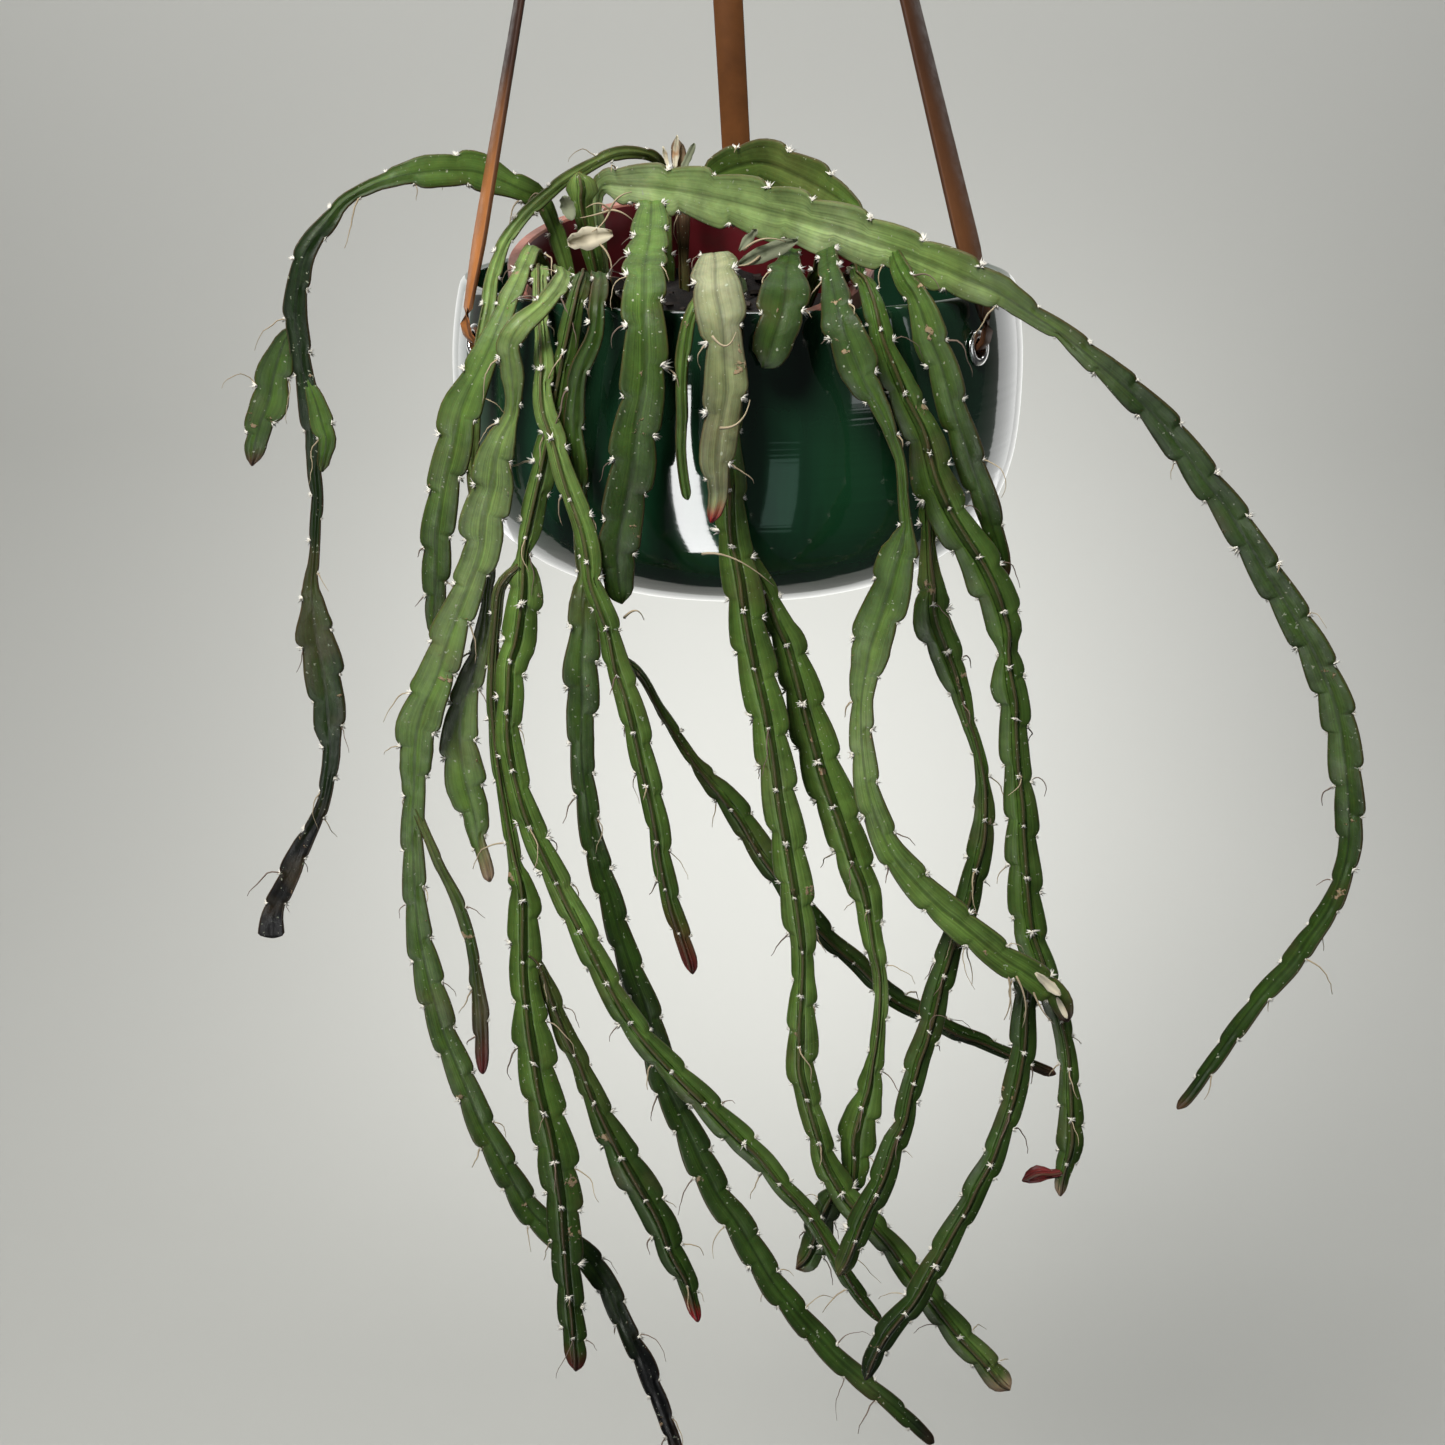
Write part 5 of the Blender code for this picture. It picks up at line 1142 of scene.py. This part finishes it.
def sight_point(across, down, forward):
    """The place in line with a point of the board, this far forward of the bowl's middle."""
    down_angle = math.radians(EYE_DOWN)
    left_angle = math.radians(EYE_LEFT)
    ahead = Vector((-math.sin(left_angle) * math.cos(down_angle),
                    math.cos(left_angle) * math.cos(down_angle), -math.sin(down_angle)))
    right = Vector((math.cos(left_angle), math.sin(left_angle), 0.0))
    up = right.cross(ahead)
    ray = ahead * BOARD_AWAY + right * (across - BOARD_MIDDLE) - up * (down - BOARD_MIDDLE)
    return EYE + ray * ((-forward - EYE.y) / ray.y)


class Stalk:
    """A smooth curve through a route's knots, read by distance along it."""

    def __init__(self, knots):
        self.places = smooth_line([place for place, width in knots], KNOT_PARTS)
        self.widths = []
        for (place, width), (following, next_width) in zip(knots, knots[1:]):
            for i in range(KNOT_PARTS):
                t = i / KNOT_PARTS
                self.widths.append(width + (next_width - width) * (3 * t * t - 2 * t ** 3))
        self.widths.append(knots[-1][1])
        self.runs = [0.0]
        for before, after in zip(self.places, self.places[1:]):
            self.runs.append(self.runs[-1] + (after - before).length)
        self.length = self.runs[-1]
        self.headings = [self.heading(run) for run in self.runs]
        self.bends = [self.bend(run) for run in self.runs]
        self.aways = self.away_sides()

    def share(self, distance):
        """The station before a distance, and the share of the way to the next one."""
        k = min(max(bisect_right(self.runs, distance) - 1, 0), len(self.runs) - 2)
        return k, (distance - self.runs[k]) / (self.runs[k + 1] - self.runs[k])

    def place(self, distance):
        """The place on the curve at a distance along it."""
        k, share = self.share(distance)
        return self.places[k].lerp(self.places[k + 1], share)

    def heading(self, distance):
        """The way the curve runs, evened out over a few millimetres."""
        return (self.place(distance + BEND_STEP) - self.place(distance - BEND_STEP)).normalized()

    def bend(self, distance):
        """How much the heading turns in a millimetre, pointing at the middle of the bend."""
        turn = self.heading(distance + BEND_STEP) - self.heading(distance - BEND_STEP)
        return turn / (2 * BEND_STEP)

    def away_sides(self):
        """The side turned away from the eye, at each station. From the tip back to where the stem
        first points at the eye it follows the sight line, and behind that it doesn't twist."""
        sides = []
        pointing = False
        for place, heading in zip(reversed(self.places), reversed(self.headings)):
            away = (place - EYE).normalized()
            away -= away.dot(heading) * heading
            pointing = pointing or away.length < POINTS_AT_EYE
            if pointing:
                away = sides[-1] - sides[-1].dot(heading) * heading
            sides.append(away.normalized())
        return list(reversed(sides))

    def section(self, distance, angle):
        """Place, width, heading, outward and sideways directions, and bend, at an angle from away."""
        k, share = self.share(distance)
        heading = self.headings[k].lerp(self.headings[k + 1], share).normalized()
        away = self.aways[k].lerp(self.aways[k + 1], share)
        away = (away - away.dot(heading) * heading).normalized()
        side = heading.cross(away)
        turned_by = math.radians(angle)
        outward = away * math.cos(turned_by) + side * math.sin(turned_by)
        sideways = side * math.cos(turned_by) - away * math.sin(turned_by)
        width = self.widths[k] + (self.widths[k + 1] - self.widths[k]) * share
        inward = outward.dot(self.bends[k].lerp(self.bends[k + 1], share))
        room = BEND_ROOM / inward if inward > 0 else math.inf
        return self.places[k].lerp(self.places[k + 1], share), width, heading, outward, sideways, room


def scallop_reach(phase):
    """How far a wing reaches in one scallop: it swells from a notch and rounds off at the next."""
    if phase < SHOULDER_AT:
        start = NOTCH_REACH + 0.02
        return start + (SHOULDER_REACH - start) * (1 - (1 - phase / SHOULDER_AT) ** 1.7)
    fall = (phase - SHOULDER_AT) / (1 - SHOULDER_AT)
    return SHOULDER_REACH - (SHOULDER_REACH - NOTCH_REACH + 0.03) * fall ** 2.8


def wing_outline(reach, core):
    """(out along the wing, sideways, share of the way to the edge) round one wing, low angle first."""
    edge = min(EDGE_THICK, 0.28 * reach)
    belly = min(1.0, reach / 6.0)
    flank = [(0.12 * reach + 0.35 * core, 0.93 * core, 0.15)]
    for share, thick in ((0.4, 1.6), (0.65, 1.18), (0.86, 0.85)):
        flank.append((share * reach, max(thick * belly, edge), share))
    flank.append((reach - 0.5 * edge, edge, 0.97))
    low_side = [(out, -thick, share) for out, thick, share in flank]
    high_side = [(out, thick, share) for out, thick, share in reversed(flank)]
    return low_side + [(reach, -0.4 * edge, 1.0), (reach, 0.4 * edge, 1.0)] + high_side


class StemSkin:
    """Collects the points, faces, tones and edge shares of all the shoots of one stem."""

    def __init__(self, name):
        self.name = name
        self.points = []
        self.faces = []
        self.tones = []
        self.edges = []
        self.runs = []
        self.notches = []

    def tone_at(self, skin, share, left):
        """Skin tone at a share of the route, with this many millimetres left to its tip."""
        names, tip, tip_length = skin
        at = min(share, 0.999) * (len(names) - 1)
        before = int(at)
        tone = Vector(TONES[names[before]]).lerp(Vector(TONES[names[before + 1]]), at - before)
        nearness = min(1.0, max(0.0, 1.25 - left / tip_length))
        return tone.lerp(Vector(TONES[tip]), nearness)

    def grow(self, knots, facing, skin, even_start, chance):
        """Adds one shoot along its knots; its wings' notches are level over the even start."""
        stalk = Stalk(knots)
        count = max(1, round(stalk.length / SCALLOP))
        pitch = stalk.length / count
        sizes, slips, waves = ([[chance.uniform(low, high) for k in range(count + 1)] for wing in WINGS]
                               for low, high in ((0.93, 1.06), (-0.1, 0.1), (-0.5, 0.5)))
        stations = [(k, phase) for k in range(count) for phase in PHASES]
        stations.append((count, 0.0))
        rings = []
        for k, phase in stations:
            distance = pitch * (k + phase)
            left = stalk.length - distance
            fade = max(0.0, min(1.0, distance / even_start, left / SHIFT_ENDS))
            closing = min(1.0, math.sqrt(max(0.02, left / TIP_CLOSES)))
            ahead = min(k + 1, count)
            ring_points = []
            for wing, (spread, share, shift) in enumerate(WINGS):
                slip = (slips[wing][k] * (1 - phase) + slips[wing][ahead] * phase) * fade * pitch
                station = distance + shift * SCALLOP * fade + slip
                section = stalk.section(station, spread + facing)
                place, width, heading, outward, sideways, room = section
                size = sizes[wing][k] * (1 - phase) + sizes[wing][ahead] * phase
                half = max(width / 2, LEAST_HALF)
                core = CORE_RADIUS + CORE_SHARE * half
                swell = scallop_reach(phase if k < count else 1.0)
                reach = min(max(half * share * swell * size, core * 1.25), room)
                wave = waves[wing][k] * math.sin(math.pi * phase) * fade
                for out, side, edge_share in wing_outline(reach, min(core, reach)):
                    side += wave * max(0.0, edge_share - 0.3)
                    ring_points.append(place + (outward * out + sideways * side) * closing)
                    self.edges.append(edge_share)
                    self.runs.append(station * MM)
                if phase == 0.0 and 0 < k < count and half * share > TUFTED_REACH:
                    notch = place + outward * (reach + 0.1)
                    self.notches.append((notch, outward, heading, half * share))
                following = WINGS[(wing + 1) % 3]
                hollow = spread + (following[0] - spread) % 360 / 2
                station = distance + (shift + following[2]) / 2 * SCALLOP * fade
                section = stalk.section(station, hollow + facing)
                place, width, heading, outward, sideways, room = section
                core = min(CORE_RADIUS + CORE_SHARE * max(width / 2, LEAST_HALF), room)
                ring_points.append(place + outward * core * closing)
                self.edges.append(0.0)
                self.runs.append(station * MM)
            rings.append([in_frame(point) for point in ring_points])
            # Painted light and shade along the shoot come in with its tones.
            tone = self.tone_at(skin, distance / stalk.length, left)
            self.tones += [(*tone, 1.0)] * len(ring_points)
        add_skin(self.points, self.faces, rings)

    def piece(self):
        """The finished stem as one object."""
        stem = mesh_piece("fleshy_" + self.name, self.points, self.faces, flesh)
        tones = stem.data.attributes.new("tone", "FLOAT_COLOR", "POINT")
        tones.data.foreach_set("color", [value for tone in self.tones for value in tone])
        for name, values in (("edge", self.edges), ("run", self.runs)):
            stem.data.attributes.new(name, "FLOAT", "POINT").data.foreach_set("value", values)
        return stem


growth = random.Random(11)
all_notches = []
for name, spec in STEMS.items():
    across, back = spec["root"]
    surface = soil_top(across, back)
    knots = [(pot_point(across, back, surface + up), 2 * ROOT_RADIUS)
             for up in (-ROOT_DEPTH, 0.0, ROOT_STANDS)]
    even_start = SHIFT_PAST_RIM
    skin_of_stem = StemSkin(name)
    for route, skin in zip(spec["routes"], spec["skins"]):
        knots += [(sight_point(u, v, forward), width) for u, v, forward, width in route]
        skin_of_stem.grow(knots, spec["facing"], skin, even_start, growth)
        knots = []
        even_start = SHIFT_ENDS
    stem = skin_of_stem.piece()
    slot = "stem_olive" if name in ("stem_pale_short", "stem_cut_stump") else "stem_green"
    belongs(stem, slot, name)
    all_notches += skin_of_stem.notches

# The woolly tufts: a pinch of short white wool in each notch, where a flower or a root may start.
TUFT_HAIRS = 17
TUFT_LONG = (1.7, 3.6)
TUFT_BROAD = 0.65
WOOL = (0.84, 0.83, 0.77)
WOOL_DULL = (0.62, 0.58, 0.48)

wool = two_tone("white_wool", WOOL, WOOL_DULL, 0.9, 500, Sheen_Weight=0.3)


def spike(points, faces, root, way, long, broad):
    """Adds one closed three-sided hair."""
    side = way.orthogonal().normalized()
    other = way.cross(side).normalized()
    first = len(points)
    for k in range(3):
        angle = 2 * math.pi * k / 3
        points.append(in_frame(root + (side * math.cos(angle) + other * math.sin(angle)) * broad))
    points.append(in_frame(root + way * long))
    for k in range(3):
        faces.append((first + k, first + (k + 1) % 3, first + 3))
    faces.append((first + 2, first + 1, first))


tease = random.Random(23)
tuft_points = []
tuft_faces = []
for place, outward, heading, reach in all_notches:
    size = tease.uniform(0.5, 1.0) * min(1.0, 0.55 + reach / 14)
    if tease.random() < 0.1:
        size *= 1.4
    side = heading.cross(outward)
    base = place - outward * 0.5 * size
    for hair in range(TUFT_HAIRS):
        way = outward * tease.uniform(0.3, 1.2) + heading * tease.uniform(-0.9, 0.7)
        way = (way + side * tease.uniform(-1, 1)).normalized()
        long = tease.uniform(*TUFT_LONG) * size
        spike(tuft_points, tuft_faces, base, way, long, TUFT_BROAD * size)
tufts = mesh_piece("woolly_tufts", tuft_points, tuft_faces, wool)
belongs(tufts, "stem_olive")

# The aerial roots: dry threads, some pale and some dark, that grow out of the notches and curl.
ROOT_SHARE = 0.3
ROOT_THREAD = 0.3
ROOT_STEPS = 9
ROOT_DROOP = Vector((0, 0, -0.12))
PALE_ROOT = (0.5, 0.42, 0.28)
PALE_ROOT_DULL = (0.25, 0.18, 0.1)
DARK_ROOT = (0.09, 0.06, 0.045)
DARK_ROOT_DULL = (0.2, 0.14, 0.1)

pale_root = two_tone("pale_root", PALE_ROOT, PALE_ROOT_DULL, 0.8, 200)
dark_root = two_tone("dark_root", DARK_ROOT, DARK_ROOT_DULL, 0.8, 200)


def thread(line, broad):
    """Rings of a thin round thread that tapers along its line."""
    rings = []
    for k, here in enumerate(line):
        heading = (line[min(k + 1, len(line) - 1)] - line[max(k - 1, 0)]).normalized()
        side = heading.cross(Vector((0.3, 1.0, 0.2))).normalized()
        other = heading.cross(side)
        thin = broad * (1 - 0.7 * k / (len(line) - 1))
        rings.append([in_frame(here + (side * math.cos(a) + other * math.sin(a)) * thin)
                      for a in (0.0, 1.57, 3.14, 4.71)])
    return rings


thread_sets = {"pale": ([], []), "dark": ([], [])}
for place, outward, heading, reach in all_notches:
    if tease.random() > ROOT_SHARE:
        continue
    tone = "pale" if tease.random() < 0.6 else "dark"
    long = tease.uniform(4.0, 20.0)
    way = (outward + heading * tease.uniform(-0.5, 0.9)).normalized()
    here = place - outward * 0.6
    line = [here.copy()]
    for step in range(ROOT_STEPS):
        drift = Vector((tease.uniform(-1, 1), tease.uniform(-1, 1), tease.uniform(-1, 0.4)))
        way = (way + drift * 0.38 + ROOT_DROOP).normalized()
        here = here + way * long / ROOT_STEPS
        line.append(here.copy())
    points, faces = thread_sets[tone]
    add_skin(points, faces, thread(line, ROOT_THREAD * tease.uniform(0.8, 1.5)))
for tone, material in (("pale", pale_root), ("dark", dark_root)):
    points, faces = thread_sets[tone]
    threads = mesh_piece("aerial_roots_" + tone, points, faces, material)
    facing_out(threads)
    belongs(threads, "stem_olive")

# The litter: dry curled scales between the stems' bases, on the cut stump's frayed top and at the
# end of the right chain, and long pale root threads that wander over the stems.
SCALE_THICK = 0.5
BEIGE = (0.58, 0.53, 0.4)
BEIGE_SPOT = (0.36, 0.17, 0.06)
ASHEN = (0.2, 0.22, 0.14)
ASHEN_SPOT = (0.1, 0.12, 0.06)
# Each scrap's tone, place on the board and forward, length, width, turn on the board, and curl.
SCRAPS = [("beige", (295, 119, 34), 23, 13, -12, 3.0), ("ashen", (284, 104, 30), 13, 8, 70, 1.5),
          ("ashen", (384, 126, 80), 32, 9, -22, 2.0), ("ashen", (374, 120, 78), 14, 5, -50, 1.0),
          ("beige", (333, 79, -5.5), 12, 2.6, -104, 0.8), ("beige", (338, 76, -5.5), 17, 3.4, -86, 0.8),
          ("ashen", (344, 79, -5.5), 16, 4.2, -66, 0.8), ("beige", (427, 136, 66), 9, 4, 35, 1.0),
          ("beige", (524, 492, 118), 17, 5, 42, 1.0), ("beige", (531, 504, 116), 12, 3.5, 64, 0.8)]
SCALE_STEPS = 8
STRAND_BROAD = 0.5
# Each strand's start, the place its curve is drawn towards, and its end.
STRANDS = [((351, 277, 126), (366, 274, 132), (387, 293, 125)),
           ((356, 168, 139), (364, 179, 142), (368, 166, 139)),
           ((360, 214, 140), (372, 215, 144), (375, 200, 138)),
           ((305, 105, 34), (300, 99, 37), (293, 104, 36)),
           ((305, 105, 34), (308, 97, 36), (316, 96, 34)),
           ((305, 105, 34), (312, 105, 38), (318, 112, 34)),
           ((305, 105, 34), (303, 112, 37), (296, 116, 35)),
           ((305, 105, 34), (301, 107, 37), (290, 109, 36)),
           ((372, 125, 80), (381, 116, 86), (393, 121, 82)),
           ((380, 128, 80), (372, 136, 86), (365, 131, 84)),
           ((272, 100, 20), (268, 93, 22), (264, 101, 20)),
           ((300, 122, 36), (309, 131, 40), (304, 142, 42)),
           ((312, 309, 118), (319, 301, 122), (322, 310, 118)),
           ((503, 484, 116), (508, 500, 120), (502, 510, 118)),
           ((508, 488, 116), (516, 502, 120), (511, 514, 118)),
           ((516, 494, 115), (520, 506, 119), (527, 512, 116))]

scale_finishes = {}
for tone, colour, spot in (("beige", BEIGE, BEIGE_SPOT), ("ashen", ASHEN, ASHEN_SPOT)):
    scale, scale_shader = finish_of(tone + "_dry_scale", colour, 0.85)
    spotted = ranged(scale, grain(scale, 120, 3.0), 0.56, 0.68)
    wire(scale, mixed(scale, spotted, colour, spot), scale_shader, "Base Color")
    scale_finishes[tone] = scale
scale_sets = {"beige": ([], []), "ashen": ([], [])}
for tone, (across, down, forward), long, wide, degrees, curl in SCRAPS:
    turn = math.radians(degrees)
    rings = []
    for step in range(SCALE_STEPS + 1):
        share = step / SCALE_STEPS
        half = wide / 2 * (0.25 + 0.75 * math.sin(math.pi * share) ** 0.6) * tease.uniform(0.7, 1.15)
        along = (share - 0.5) * long
        bow = 0.6 * math.cos(2 * math.pi * share)
        ring_points = []
        for side, back in ((-1, 0), (-0.35, 0), (0.35, 0), (1, 0), (1, 1), (0.35, 1), (-0.35, 1), (-1, 1)):
            point = sight_point(across + along * math.cos(turn) - side * half * math.sin(turn),
                                down + along * math.sin(turn) + side * half * math.cos(turn),
                                forward + curl * (side * side + bow) - back * SCALE_THICK)
            ring_points.append(in_frame(point))
        rings.append(ring_points)
    points, faces = scale_sets[tone]
    add_skin(points, faces, rings)
for tone, (points, faces) in scale_sets.items():
    scales = mesh_piece(tone + "_scales", points, faces, scale_finishes[tone])
    facing_out(scales)
    belongs(scales, "stem_olive")

strand_points = []
strand_faces = []
for places in STRANDS:
    first, middle, last = (sight_point(*place) for place in places)
    line = [first.lerp(middle, k / 10).lerp(middle.lerp(last, k / 10), k / 10) for k in range(11)]
    add_skin(strand_points, strand_faces, thread(line, STRAND_BROAD))
strands = mesh_piece("long_roots", strand_points, strand_faces, pale_root)
facing_out(strands)
belongs(strands, "stem_olive")
